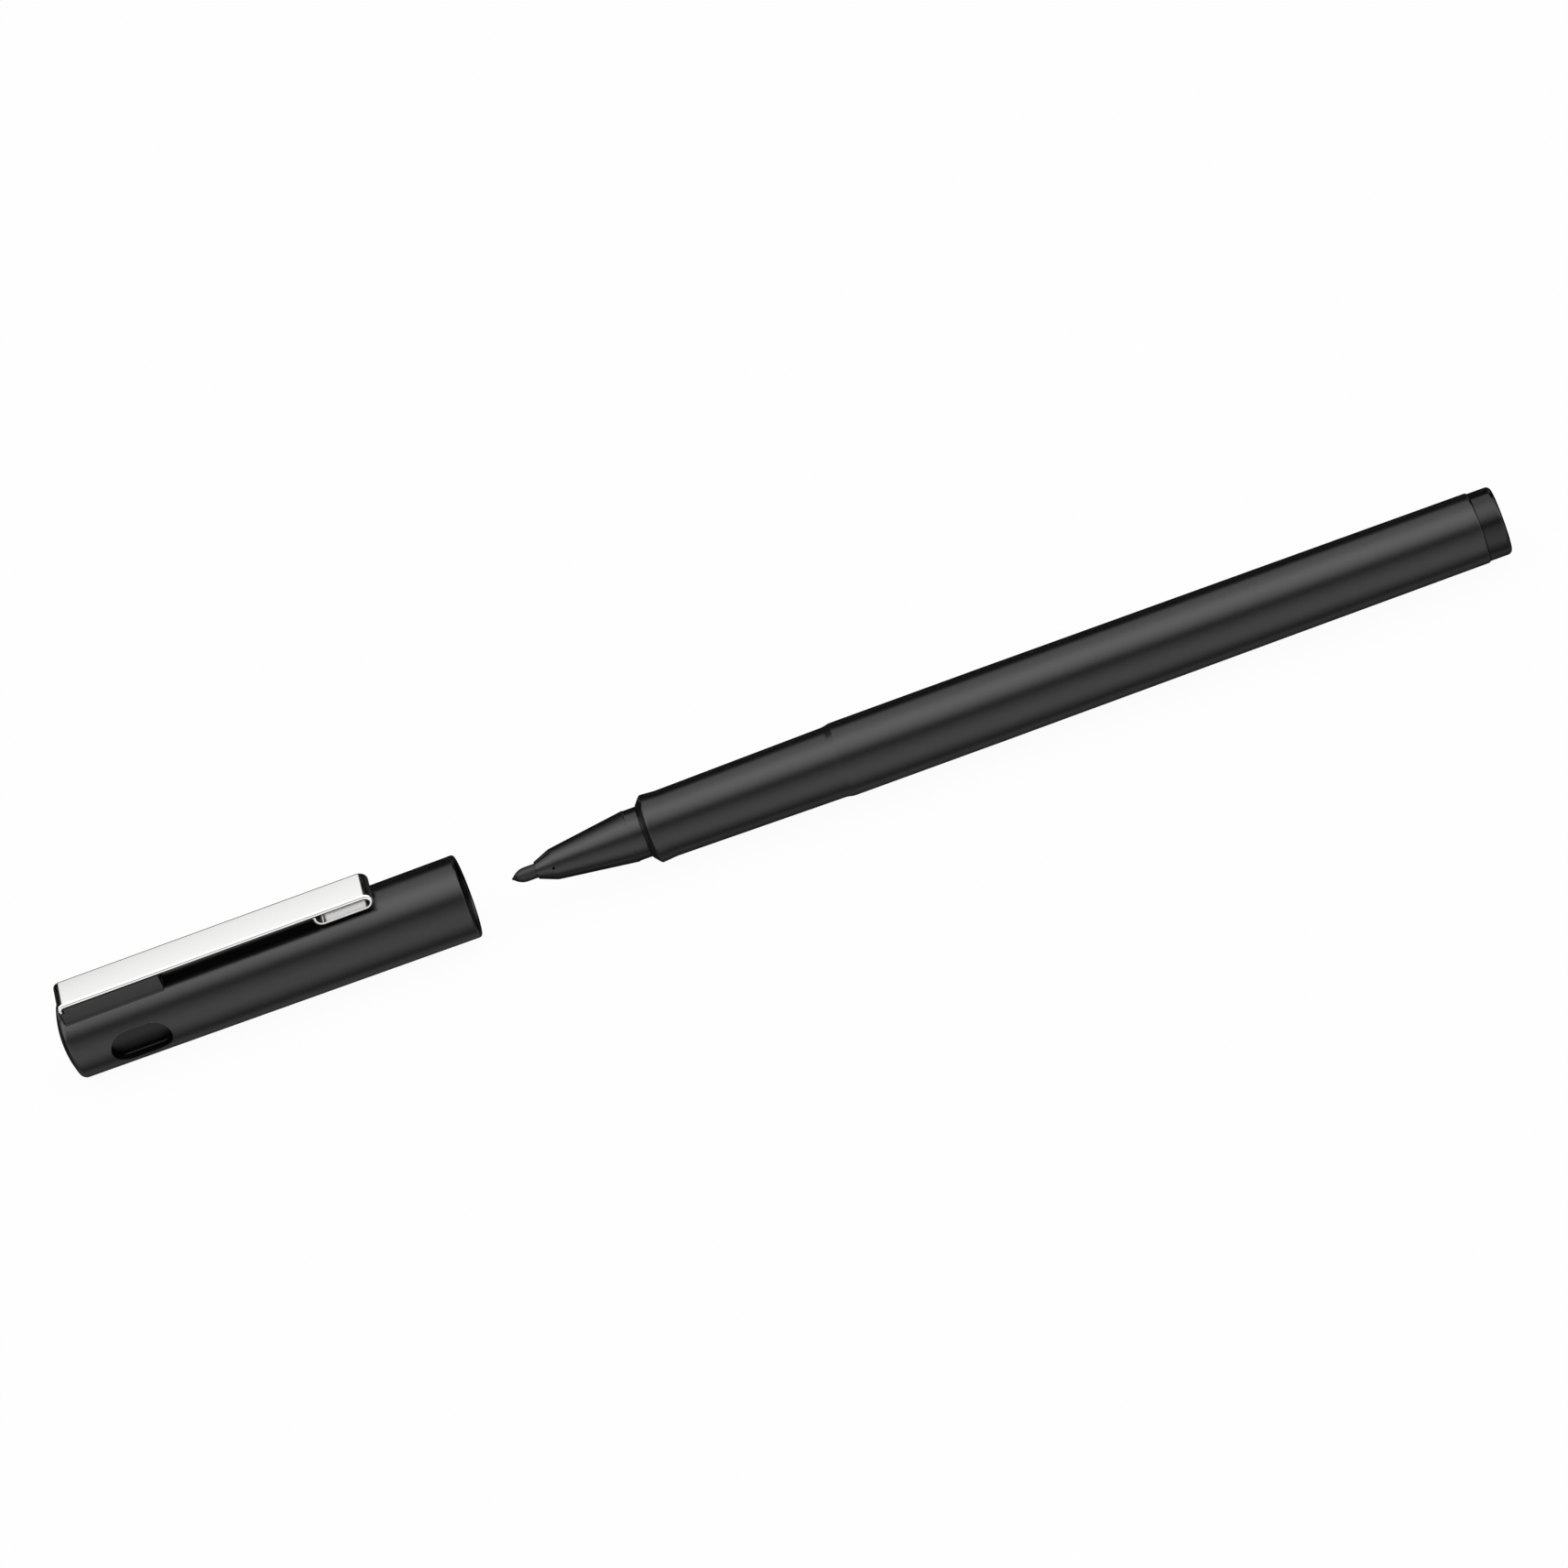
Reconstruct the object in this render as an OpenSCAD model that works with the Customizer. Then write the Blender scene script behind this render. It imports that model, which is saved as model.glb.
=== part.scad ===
// Fineliner pen with its cap taken off, lying along X.
// The cap stands in front of the nib with its mouth facing it, and the clip is on top.
// Pen pieces are placed by their distance behind the nib's tip.
// Cap pieces are placed by their distance from the cap's closed end.

/* [Barrel] */
// Length from the seat step to the barrel's rear edge
barrel_l = 85.9; // [70:0.1:100]
// Diameter of the straight stretch behind the seat step
barrel_d = 9.8; // [9.7:0.02:10.4]
// Length of the straight stretch, where the taper to the rear starts
straight_l = 20.5; // [8:0.1:40]
// Diameter at the barrel's rear edge
barrel_rear_d = 9.37; // [9.2:0.01:9.6]
// Rounding of the barrel's rear edge
rear_round = 0.3; // [0.1:0.05:0.6]
// Length of the grip, from the front face to the seat step
grip_l = 25.8; // [20:0.1:32]
// Diameter of the grip at the seat step
grip_d = 9.4; // [9.2:0.02:9.6]
// Diameter of the grip just behind its front lip
neck_d = 8.8; // [8.5:0.02:9]
// Diameter of the snap lip at the grip's front
lip_d = 9.14; // [8.95:0.01:9.2]
// Length of the snap lip, from the front face to the neck
lip_l = 3; // [2:0.1:4]
// Length of the lip's sloping front
lip_rise = 0.9; // [0.6:0.05:1.2]
// Rounding between the lip's sloping front and its flank
lip_round = 0.45; // [0.1:0.05:0.6]
// Diameter of the front face round the collar
front_d = 7; // [6.9:0.05:7.6]
// Length of the sloping seat step between grip and barrel
step_l = 0.95; // [0.4:0.05:2]

/* [Nose cone] */
// Diameter of the face that the nib comes out of
nose_tip_d = 2.3; // [2.1:0.05:3]
// Length of the blunt bevel round the nib
bevel_l = 2.3; // [1:0.1:3]
// Diameter where the bevel meets the long cone
bevel_d = 4.1; // [3.6:0.05:4.6]
// Length of the long cone
cone_l = 10.55; // [8:0.05:14]
// Diameter of the long cone's back edge, which seals in the inner cap
cone_d = 6.9; // [6.4:0.02:7.2]
// Length of the collar between the cone and the barrel
collar_l = 1.75; // [1:0.05:4]
// Diameter of the collar
collar_d = 6.74; // [6.3:0.02:6.86]
// Diameter of the spigot pressed into the barrel
spigot_d = 6.2; // [5.6:0.05:6.25]
// Length of the spigot
spigot_l = 7.2; // [4:0.1:10]
// Wall of the hollow cone and spigot
nose_wall = 0.7; // [0.4:0.05:0.9]
// Diameter of the air hole in the cone
vent_d = 0.35; // [0.2:0.05:0.6]

/* [Nib] */
// Diameter of the fibre nib
nib_d = 1.9; // [1.2:0.05:2]
// Length of nib that stands out of the nose cone
nib_out = 3.1; // [2:0.1:4]
// Length of nib inside the ink reservoir
nib_soak = 7; // [4:0.5:12]
// Length over which the nib narrows to its tip
nib_point_l = 1.7; // [1:0.1:2]
// Radius of the nib's rounded tip
nib_tip_r = 0.35; // [0.2:0.01:0.4]

/* [Ink reservoir] */
// Diameter of the fibre core
core_d = 6.5; // [5.5:0.05:6.8]
// Thickness of the film round the core
film_t = 0.15; // [0.1:0.01:0.2]
// Length of film that stands past each end of the core
film_over = 0.6; // [0.2:0.1:1.5]
// Room between the film and the barrel's bore
core_room = 0.2; // [0.1:0.05:0.3]

/* [Rear plug] */
// Length of the plug's head
plug_l = 3; // [1.5:0.1:6]
// Diameter of the plug's head
plug_d = 9.05; // [8.6:0.05:9.3]
// Rounding of the plug's rear edge
plug_round = 0.65; // [0.2:0.05:1]
// Length of the plug's stem inside the barrel
stem_l = 8; // [5:0.5:12]
// Wall of the plug's hollow stem
stem_wall = 0.9; // [0.5:0.05:1.2]
// Height of the stem's crush ribs
crush_h = 0.12; // [0.05:0.01:0.2]
// Width of a crush rib
crush_w = 0.5; // [0.3:0.05:1]
// Number of crush ribs
crush_count = 6; // [3:1:8]

/* [Cap] */
// Length of the cap
cap_l = 55.1; // [54:0.1:60]
// Wall of the cap at its mouth
cap_wall = 0.735; // [0.5:0.005:1]
// Wall of the cap round the inner cap
cap_end_wall = 0.95; // [0.8:0.05:1.2]
// Thickness of the cap's closed end
cap_end_t = 2.9; // [2.6:0.05:3.4]
// Height of the dome on the closed end
end_crown = 1.05; // [0.6:0.05:1.3]
// Rounding of the cap's rim at the mouth
mouth_round = 0.4; // [0.1:0.05:0.45]
// Rounding of the cap's closed end
end_round = 0.8; // [0.4:0.05:1.2]
// Room between the cap's mouth and the grip
cap_room = 0.13; // [0.08:0.01:0.3]
// Gap left between the cap's rim and the seat step when the cap is on
seat_gap = 0.2; // [0.1:0.05:0.5]
// Length of the air slot in each side of the cap
slot_l = 8; // [5:0.1:9]
// Width of the air slot
slot_w = 4.8; // [3:0.1:5]
// Distance of the air slot's centre from the closed end
slot_x = 10; // [8.5:0.1:12]

/* [Inner cap] */
// Wall of the inner cap
inner_wall = 0.5; // [0.4:0.05:0.6]
// Running clearance between the cone's back edge and the inner cap
seal_room = 0.05; // [0.02:0.01:0.1]
// Space kept between the closed end and the inner cap
inner_gap = 0.9; // [0.6:0.1:2]
// Length of the straight bore at its mouth, which the cone's back edge seals in
seal_l = 3; // [2:0.1:8]
// Narrowing of the bore's radius from there to its closed end
inner_taper = 0.35; // [0:0.05:0.4]
// Height of the ribs that hold the inner cap off the cap's wall
rib_h = 0.3; // [0.2:0.05:0.4]
// Width of a rib
rib_w = 0.8; // [0.5:0.05:1.2]

/* [Clip] */
// Length of the clip
clip_l = 42.1; // [32:0.1:45]
// Width of the clip
clip_w = 4.7; // [3:0.1:5]
// Thickness of the clip's sheet metal
clip_t = 0.5; // [0.35:0.05:0.6]
// Outer radius of the bend at the clip's root
root_r = 0.95; // [0.7:0.05:1.05]
// Radius of the slight crown across the clip
crown_r = 60; // [20:5:100]
// Length of the folded end of the clip
fold_l = 7.7; // [5:0.1:12]
// Outer radius of the curl at the end of the fold
curl_r = 1.3; // [0.8:0.05:1.4]
// Depth of the full-width root below the clip's outer face
tab_drop = 1.25; // [1.1:0.05:2]
// Depth of the tongue below the clip's outer face
tongue_drop = 3.2; // [2.5:0.1:3.3]
// Width of the tongue
tongue_w = 2.4; // [1.5:0.1:3]
// Angle by which the clip springs open
clip_lift = 4; // [2:0.5:5]

/* [Boss under the clip] */
// Length of the boss
boss_l = 13.6; // [8:0.1:24]
// Distance from the closed end to the boss
boss_x = 1.6; // [1.2:0.05:2.2]
// Width of the boss
boss_w = 4.6; // [3.4:0.1:6]
// Height of the boss above the cap's closed end
boss_h = 2.25; // [2:0.05:3]
// Rounding of the boss's two corners at the closed end
boss_round = 0.4; // [0.1:0.05:0.6]

/* [Rest pose] */
// Free space between the cap's mouth and the nib's tip while the cap is off
cap_gap = 6.2; // [1:0.1:30]

/* [Hidden] */

// Facets of a full circle, and of the wide circle that crowns the clip
curve_fn = 96;
crown_fn = 720;
// How far a cut runs past the surface that it opens
overrun = 1;

// Room between the clip and the boss, and between the fold and the cap
clip_gap = 0.2;
fold_gap = 0.2;
// How far the clip's root is set in from the boss's front
root_inset = 0.05;
// Room behind the root, and behind the tongue, which swings in when the clip opens
root_room = 0.2;
tongue_room = 0.3;
// Room at the tongue's sides and foot
tongue_side_room = 0.15;

// Room between the snap bead in the cap and the lip, and the bead's length
bead_room = 0.05;
bead_l = 1;
// Room round the lip when the cap is on, and between the lip and the snap bead
lip_room = 0.13;
// Chamfer inside the mouth
mouth_chamfer = 0.25;
// Length of the slope between the cap's two bores
shoulder_l = 1;
// Distance between the pen's front face and the inner cap when the cap is on
front_gap = 0.3;
// Thickness of the inner cap's closed end, and the rounding of its edge
inner_end_t = 0.8;
inner_round = 0.6;
// How far the stop fins reach in under the inner cap
fin_reach = 1.6;
// Angle between neighbouring ribs, which leaves the air slots free
rib_spread = 45;
// How far the ribs are sunk into the wall, and end before the slope between the bores
rib_sink = 0.2;
rib_inset = 0.3;

// Length of the tight bore that holds the nib in the nose cone
nose_guide_l = 1.9;
// Angle of the air hole from the top
vent_turn = 61;
// Thickness and count of the fins that hold the nib in the hollow cone
nose_fin_t = 0.5;
nose_fin_count = 4;
// Length of the lead-in chamfers on spigot and stem
lead_in = 0.5;
// Space between the nose cone's spigot and the reservoir
reservoir_gap = 0.8;
// Length of the ring in the barrel that grips the spigot
grip_ring_l = 6;
// Space between the reservoir film and the plug's stem
stem_gap = 0.4;
// Thickness of the wall at the bottom of the hollow plug
plug_floor = 1.4;

// Distances behind the nib's tip
bevel_s = nib_out;
cone_s = bevel_s + bevel_l;
collar_s = cone_s + cone_l;
front_s = collar_s + collar_l;
lip_end_s = front_s + lip_l;
step_s = front_s + grip_l;
barrel_s = step_s + step_l;
taper_s = barrel_s + straight_l;
rear_s = barrel_s + barrel_l;
pen_l = rear_s + plug_l;
spigot_end_s = front_s + spigot_l;
film_s = spigot_end_s + reservoir_gap;
core_s = film_s + film_over;
stem_s = rear_s - stem_l;
film_end_s = stem_s - stem_gap;
core_end_s = film_end_s - film_over;
nib_end_s = core_s + nib_soak;

// Bore of the barrel, from what it holds
film_d = core_d + 2 * film_t;
bore_d = film_d + 2 * core_room;

// Cap distances, from its closed end, and what lies there when the cap is on
seat_s = step_s + seat_gap;
front_x = cap_l - seat_s + front_s;
inner_mouth_x = front_x - front_gap;
inner_x = cap_end_t + inner_gap;
lip_x = front_x + lip_l;
rib_x = cap_end_t - rib_sink;
rib_end_x = inner_mouth_x - shoulder_l - rib_inset;

// Cap diameters, from the pen that goes in
mouth_bore_d = grip_d + 2 * cap_room;
mouth_d = mouth_bore_d + 2 * cap_wall;
deep_bore_d = lip_d + 2 * lip_room;
inner_bore_d = cone_d + 2 * seal_room;
inner_d = inner_bore_d + 2 * inner_wall;
holder_d = inner_d + 2 * rib_h;
end_d = holder_d + 2 * cap_end_wall;

// The cap's domed end: the dome's radius, and the centre of the arc that rounds its edge
dome_r = (end_d * end_d / 4 + end_crown * end_crown) / (2 * end_crown);
edge_r = end_d / 2 - end_round;
edge_x = dome_r - sqrt((dome_r - end_round) * (dome_r - end_round) - edge_r * edge_r);

// Clip heights above the cap's axis, and its places along it
boss_top = end_d / 2 + boss_h;
clip_under = boss_top + clip_gap;
clip_top = clip_under + clip_t;
root_h = clip_top - root_r;
clip_x = boss_x + root_inset;
root_x = clip_x + root_r;
clip_end_x = clip_x + clip_l;
fold_x = clip_end_x - fold_l;
fold_h = cap_radius(clip_end_x) + fold_gap;
fold_r = (clip_top - fold_h) / 2;

// Rest pose: everything lies along X, centred, on the lowest point of the cap's mouth
axis_z = mouth_d / 2;
overall_l = cap_l + cap_gap + pen_l;
cap_at = -overall_l / 2;
pen_at = cap_at + cap_l + cap_gap;

// Outer radius of the cap at a distance from its closed end
function cap_radius(x) = (end_d + (mouth_d - end_d) * x / cap_l) / 2;

// Turns a half profile, drawn as radius against distance, about the X axis
module turned() {
    rotate([0, 90, 0])
        rotate_extrude($fn = curve_fn)
            children();
}

// What lies between an outline's corner and the arc of the given radius that rounds it.
// It is cut from a corner that points out, and added to one that points in.
module corner_piece(before, corner, after, round, past = overrun) {
    first = (before - corner) / norm(before - corner);
    second = (after - corner) / norm(after - corner);
    middle = (first + second) / norm(first + second);
    half = acos(first * second) / 2;
    reach = round / tan(half);
    difference() {
        polygon([corner - middle * past, corner + first * reach, corner + second * reach]);
        translate(corner + middle * round / sin(half))
            circle(r = round, $fn = curve_fn);
    }
}

// A bar along X, centred on the axis in Y
module bar(x, length, width, low, high) {
    translate([x, -width / 2, low])
        cube([length, width, high - low]);
}

// A side outline, drawn as distance against height, made into a plate of the given width
module side_plate(width) {
    translate([0, width / 2, 0])
        rotate([90, 0, 0])
            linear_extrude(height = width)
                children();
}

// Barrel with the grip, the snap lip and the seat step in one moulding
module barrel() {
    color("#1b1b1d")
        translate([pen_at, 0, axis_z])
            turned()
                difference() {
                    polygon([
                        [spigot_d / 2, front_s],
                        [front_d / 2, front_s],
                        [lip_d / 2, front_s + lip_rise],
                        [neck_d / 2, lip_end_s],
                        [grip_d / 2, step_s],
                        [barrel_d / 2, barrel_s],
                        [barrel_d / 2, taper_s],
                        [barrel_rear_d / 2, rear_s],
                        [bore_d / 2, rear_s],
                        [bore_d / 2, front_s + grip_ring_l + lead_in],
                        [spigot_d / 2, front_s + grip_ring_l]
                    ]);
                    corner_piece([front_d / 2, front_s], [lip_d / 2, front_s + lip_rise],
                        [neck_d / 2, lip_end_s], lip_round);
                    corner_piece([barrel_d / 2, taper_s], [barrel_rear_d / 2, rear_s],
                        [bore_d / 2, rear_s], rear_round);
                }
}

// Nose cone with its sealing edge, collar and the spigot that is pressed into the barrel
module nose_cone() {
    color("#1d1d1f")
        translate([pen_at, 0, axis_z]) {
            difference() {
                turned()
                    polygon([
                        [nib_d / 2, bevel_s],
                        [nose_tip_d / 2, bevel_s],
                        [bevel_d / 2, cone_s],
                        [cone_d / 2, collar_s],
                        [collar_d / 2, collar_s],
                        [collar_d / 2, front_s],
                        [spigot_d / 2, front_s],
                        [spigot_d / 2, spigot_end_s - lead_in],
                        [spigot_d / 2 - lead_in / 2, spigot_end_s],
                        [spigot_d / 2 - nose_wall, spigot_end_s],
                        [spigot_d / 2 - nose_wall, collar_s],
                        [nib_d / 2, bevel_s + nose_guide_l]
                    ]);
                translate([cone_s, 0, 0])
                    rotate([vent_turn, 0, 0])
                        cylinder(h = cone_d, d = vent_d, $fn = curve_fn);
            }
            nose_fins();
        }
}

// Fins across the hollow nose cone that grip the nib and leave air between them
module nose_fins() {
    for (k = [0 : nose_fin_count - 1])
        rotate([(k + 1 / 2) * 360 / nose_fin_count, 0, 0])
            intersection() {
                bar(collar_s, spigot_end_s - lead_in - collar_s, nose_fin_t,
                    nib_d / 2, spigot_d / 2 - nose_wall / 2);
                turned()
                    translate([nib_d / 2, collar_s])
                        square([(spigot_d - nose_wall - nib_d) / 2, spigot_l + collar_l]);
            }
}

// Fibre nib with its rounded point, from the tip to its end inside the reservoir
module nib() {
    // The point's flank is an arc that meets the nib's side without an edge
    drop = nib_d / 2 - nib_tip_r;
    run = nib_point_l - nib_tip_r;
    flank_r = (run * run + drop * drop) / (2 * drop);
    color("#2a2725")
        translate([pen_at, 0, axis_z])
            turned() {
                translate([0, nib_point_l])
                    square([nib_d / 2, nib_end_s - nib_point_l]);
                intersection() {
                    translate([0, nib_tip_r])
                        square([nib_d / 2, run]);
                    translate([nib_d / 2 - flank_r, nib_point_l])
                        circle(r = flank_r, $fn = curve_fn);
                }
                intersection() {
                    square([nib_tip_r, nib_tip_r]);
                    translate([0, nib_tip_r])
                        circle(r = nib_tip_r, $fn = curve_fn);
                }
            }
}

// Bundle of fibres that holds the ink, with the blind hole that the nib sits in
module reservoir_core() {
    color("#3a3a40")
        translate([pen_at, 0, axis_z])
            turned()
                polygon([
                    [nib_d / 2, core_s],
                    [core_d / 2, core_s],
                    [core_d / 2, core_end_s],
                    [0, core_end_s],
                    [0, nib_end_s],
                    [nib_d / 2, nib_end_s]
                ]);
}

// Thin film wrapped round the fibre core, a little longer than it at both ends
module reservoir_film() {
    color("#d8d8d4")
        translate([pen_at, 0, axis_z])
            turned()
                translate([core_d / 2, film_s])
                    square([film_t, film_end_s - film_s]);
}

// Rear plug with a rounded head and a hollow stem that is held by crush ribs
module rear_plug() {
    color("#202022")
        translate([pen_at, 0, axis_z]) {
            turned()
                difference() {
                    polygon([
                        [0, pen_l],
                        [plug_d / 2, pen_l],
                        [plug_d / 2, rear_s],
                        [bore_d / 2 - crush_h, rear_s],
                        [bore_d / 2 - crush_h, stem_s + lead_in],
                        [bore_d / 2 - crush_h - lead_in / 2, stem_s],
                        [bore_d / 2 - crush_h - stem_wall, stem_s],
                        [bore_d / 2 - crush_h - stem_wall, pen_l - plug_floor],
                        [0, pen_l - plug_floor]
                    ]);
                    corner_piece([plug_d / 2, rear_s], [plug_d / 2, pen_l], [0, pen_l], plug_round);
                }
            for (k = [0 : crush_count - 1])
                rotate([k * 360 / crush_count, 0, 0])
                    intersection() {
                        bar(stem_s + 2 * lead_in, stem_l - 2 * lead_in, crush_w,
                            bore_d / 2 - crush_h - stem_wall / 2, bore_d / 2);
                        turned()
                            translate([0, stem_s])
                                square([bore_d / 2, stem_l]);
                    }
        }
}

// Half outline of the cap's domed end, with the arc that leads from the dome into the wall
module domed_end() {
    edge = [edge_r, edge_x];
    outward = [edge_r, edge_x - dome_r] / (dome_r - end_round);
    past = edge + outward * (end_round + overrun);
    difference() {
        intersection() {
            translate([0, dome_r])
                circle(r = dome_r, $fn = curve_fn);
            square([end_d / 2, edge_x]);
        }
        difference() {
            polygon([edge, past, [end_d / 2 + overrun, past.y], [end_d / 2 + overrun, edge_x]]);
            translate(edge)
                circle(r = end_round, $fn = curve_fn);
        }
    }
}

// Outside of the cap: the domed end, the tapered wall and the rounded rim
module cap_outside() {
    turned() {
        domed_end();
        difference() {
            polygon([
                [0, edge_x],
                [end_d / 2, edge_x],
                [mouth_d / 2, cap_l - mouth_round],
                [mouth_d / 2, cap_l],
                [0, cap_l]
            ]);
            corner_piece([mouth_d / 2, cap_l - mouth_round], [mouth_d / 2, cap_l], [0, cap_l],
                mouth_round);
        }
    }
}

// Room inside the cap: the bore for the grip, the snap bead, and the bore for the inner cap
module cap_inside() {
    turned()
        polygon([
            [0, cap_end_t],
            [holder_d / 2, cap_end_t],
            [holder_d / 2, inner_mouth_x - shoulder_l],
            [deep_bore_d / 2, inner_mouth_x],
            [deep_bore_d / 2, lip_x + lip_room],
            [lip_d / 2 + bead_room, lip_x + lip_room + bead_l / 2],
            [deep_bore_d / 2, lip_x + lip_room + bead_l],
            [mouth_bore_d / 2, cap_l - mouth_chamfer],
            [mouth_bore_d / 2 + mouth_chamfer, cap_l],
            [mouth_bore_d / 2 + mouth_chamfer, cap_l + overrun],
            [0, cap_l + overrun]
        ]);
}

// Block on the cap that carries the clip's root, with two rounded corners at its front
module boss() {
    linear_extrude(height = boss_top)
        difference() {
            translate([boss_x, -boss_w / 2])
                square([boss_l, boss_w]);
            for (side = [-1, 1])
                corner_piece([boss_x, 0], [boss_x, side * boss_w / 2],
                    [boss_x + boss_l, side * boss_w / 2], boss_round);
        }
}

// Rebate and pocket in the boss's front that take the clip's root and tongue
module clip_seat() {
    bar(-overrun, overrun + clip_x + clip_t + root_room, boss_w + 2 * overrun,
        clip_top - tab_drop - root_room, boss_top + overrun);
    bar(-overrun, overrun + clip_x + clip_t + tongue_room, tongue_w + 2 * tongue_side_room,
        clip_top - tongue_drop - tongue_side_room, boss_top + overrun);
}

// Air slots in both sides of the cap, with round ends
module air_slots() {
    straight = slot_l - slot_w;
    rotate([90, 0, 0]) {
        for (end = [-1, 1])
            translate([slot_x + end * straight / 2, 0, 0])
                cylinder(h = 2 * end_d, d = slot_w, center = true, $fn = curve_fn);
        translate([slot_x - straight / 2, -slot_w / 2, -end_d])
            cube([straight, slot_w, 2 * end_d]);
    }
}

// Ribs along the cap's bore that hold the inner cap, with fins that stop it
module holder_ribs() {
    for (side = [-90, 90], k = [-1 : 1])
        rotate([side + k * rib_spread - 90, 0, 0])
            intersection() {
                union() {
                    bar(rib_x, rib_end_x - rib_x, rib_w, inner_d / 2, holder_d / 2 + rib_sink);
                    bar(rib_x, inner_x - rib_x, rib_w, inner_d / 2 - fin_reach, holder_d / 2 + rib_sink);
                }
                turned()
                    square([holder_d / 2 + rib_sink, rib_end_x]);
            }
}

// Cap with its boss, air slots, bores and inner ribs in one moulding
module cap_shell() {
    color("#1b1b1d")
        translate([cap_at, 0, axis_z])
            difference() {
                union() {
                    difference() {
                        union() {
                            cap_outside();
                            boss();
                        }
                        cap_inside();
                        air_slots();
                    }
                    holder_ribs();
                }
                clip_seat();
            }
}

// Thin liner that closes over the nose cone and keeps the nib from drying
module inner_cap() {
    color("#77777a")
        translate([cap_at, 0, axis_z])
            turned()
                difference() {
                    polygon([
                        [0, inner_x],
                        [inner_d / 2, inner_x],
                        [inner_d / 2, inner_mouth_x],
                        [inner_bore_d / 2, inner_mouth_x],
                        [inner_bore_d / 2, inner_mouth_x - seal_l],
                        [inner_bore_d / 2 - inner_taper, inner_x + inner_end_t],
                        [0, inner_x + inner_end_t]
                    ]);
                    corner_piece([0, inner_x], [inner_d / 2, inner_x],
                        [inner_d / 2, inner_mouth_x], inner_round);
                }
}

// Side outline of the folded clip: root, strap, fold and curl, with an arc at every bend
module clip_outline() {
    outer = [
        [clip_x, clip_top - tab_drop],
        [clip_x, clip_top],
        [clip_end_x, clip_top],
        [clip_end_x, fold_h],
        [fold_x, fold_h],
        [fold_x, clip_under - clip_gap]
    ];
    inner = [
        [clip_x + clip_t, clip_top - tab_drop],
        [clip_x + clip_t, clip_under],
        [clip_end_x - clip_t, clip_under],
        [clip_end_x - clip_t, fold_h + clip_t],
        [fold_x + clip_t, fold_h + clip_t],
        [fold_x + clip_t, clip_under - clip_gap]
    ];
    bends = [root_r, fold_r, fold_r, curl_r];
    difference() {
        polygon(concat(outer, [for (k = [len(inner) - 1 : -1 : 0]) inner[k]]));
        for (k = [0 : len(bends) - 1])
            corner_piece(outer[k], outer[k + 1], outer[k + 2], bends[k]);
    }
    for (k = [0 : len(bends) - 1])
        corner_piece(inner[k], inner[k + 1], inner[k + 2], bends[k] - clip_t, clip_t / 2);
}

// Sheet metal clip: a crowned strap with a bent root, a narrower tongue and a folded end
module clip() {
    color("#d6d8da")
        translate([cap_at, 0, axis_z])
            intersection() {
                union() {
                    side_plate(clip_w)
                        clip_outline();
                    bar(clip_x, clip_t, tongue_w, clip_top - tongue_drop, root_h);
                }
                translate([clip_x - overrun, 0, clip_top - crown_r])
                    rotate([0, 90, 0])
                        cylinder(h = clip_l + 2 * overrun, r = crown_r, $fn = crown_fn);
            }
}

barrel();
nose_cone();
nib();
reservoir_core();
reservoir_film();
rear_plug();
cap_shell();
inner_cap();
clip();
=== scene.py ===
"""Looks of a fineliner pen that lies in line with its cap: meshes, finishes, studio and camera."""

import logging
import math
from abc import ABC, abstractmethod
from dataclasses import dataclass, field
from enum import Enum
from functools import reduce
from typing import Callable, Iterable, Sequence

import bpy
import numpy as np
from mathutils import Matrix, Vector


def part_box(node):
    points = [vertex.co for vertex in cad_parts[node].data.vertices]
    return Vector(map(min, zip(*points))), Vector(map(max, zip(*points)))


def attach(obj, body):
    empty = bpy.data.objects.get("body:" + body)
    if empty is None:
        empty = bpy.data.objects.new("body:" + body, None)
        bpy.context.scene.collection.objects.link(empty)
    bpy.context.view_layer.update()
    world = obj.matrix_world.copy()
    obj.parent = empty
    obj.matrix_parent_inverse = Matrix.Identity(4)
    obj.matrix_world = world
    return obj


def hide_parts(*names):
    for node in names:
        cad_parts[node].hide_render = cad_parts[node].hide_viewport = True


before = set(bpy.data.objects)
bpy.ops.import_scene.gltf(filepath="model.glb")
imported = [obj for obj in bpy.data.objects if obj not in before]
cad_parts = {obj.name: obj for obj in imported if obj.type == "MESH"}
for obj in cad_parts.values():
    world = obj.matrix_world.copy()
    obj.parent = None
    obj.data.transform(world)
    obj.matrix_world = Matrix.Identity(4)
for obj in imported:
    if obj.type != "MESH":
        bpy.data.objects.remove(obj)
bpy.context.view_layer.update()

LOG = logging.getLogger("fineliner")
MM = 0.001

# A Field gives signed distances at x, y and z. A Grid is sections, spokes and rings.
# A Stop on the clip's path is x, z, the direction of the way and half the strip's width.
Array = np.ndarray
Field = Callable[[Array, Array, Array], Array]
Grid = tuple[Array, Array, Array]
Stop = tuple[float, float, float, float]


class Body(Enum):
    """The bodies of the frame that pieces ride on."""

    PEN = "pen"
    CAP = "cap"
    CLIP = "clip_spring"


class Slot(Enum):
    """The material slots of the record."""

    BARREL = "barrel_plastic"
    NOSE = "nose_plastic"
    NIB = "nib_fibre"
    CORE = "reservoir_fibre"
    FILM = "reservoir_film"
    PLUG = "plug_plastic"
    CAP = "cap_plastic"
    LINER = "liner_plastic"
    CLIP = "clip_steel"


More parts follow.
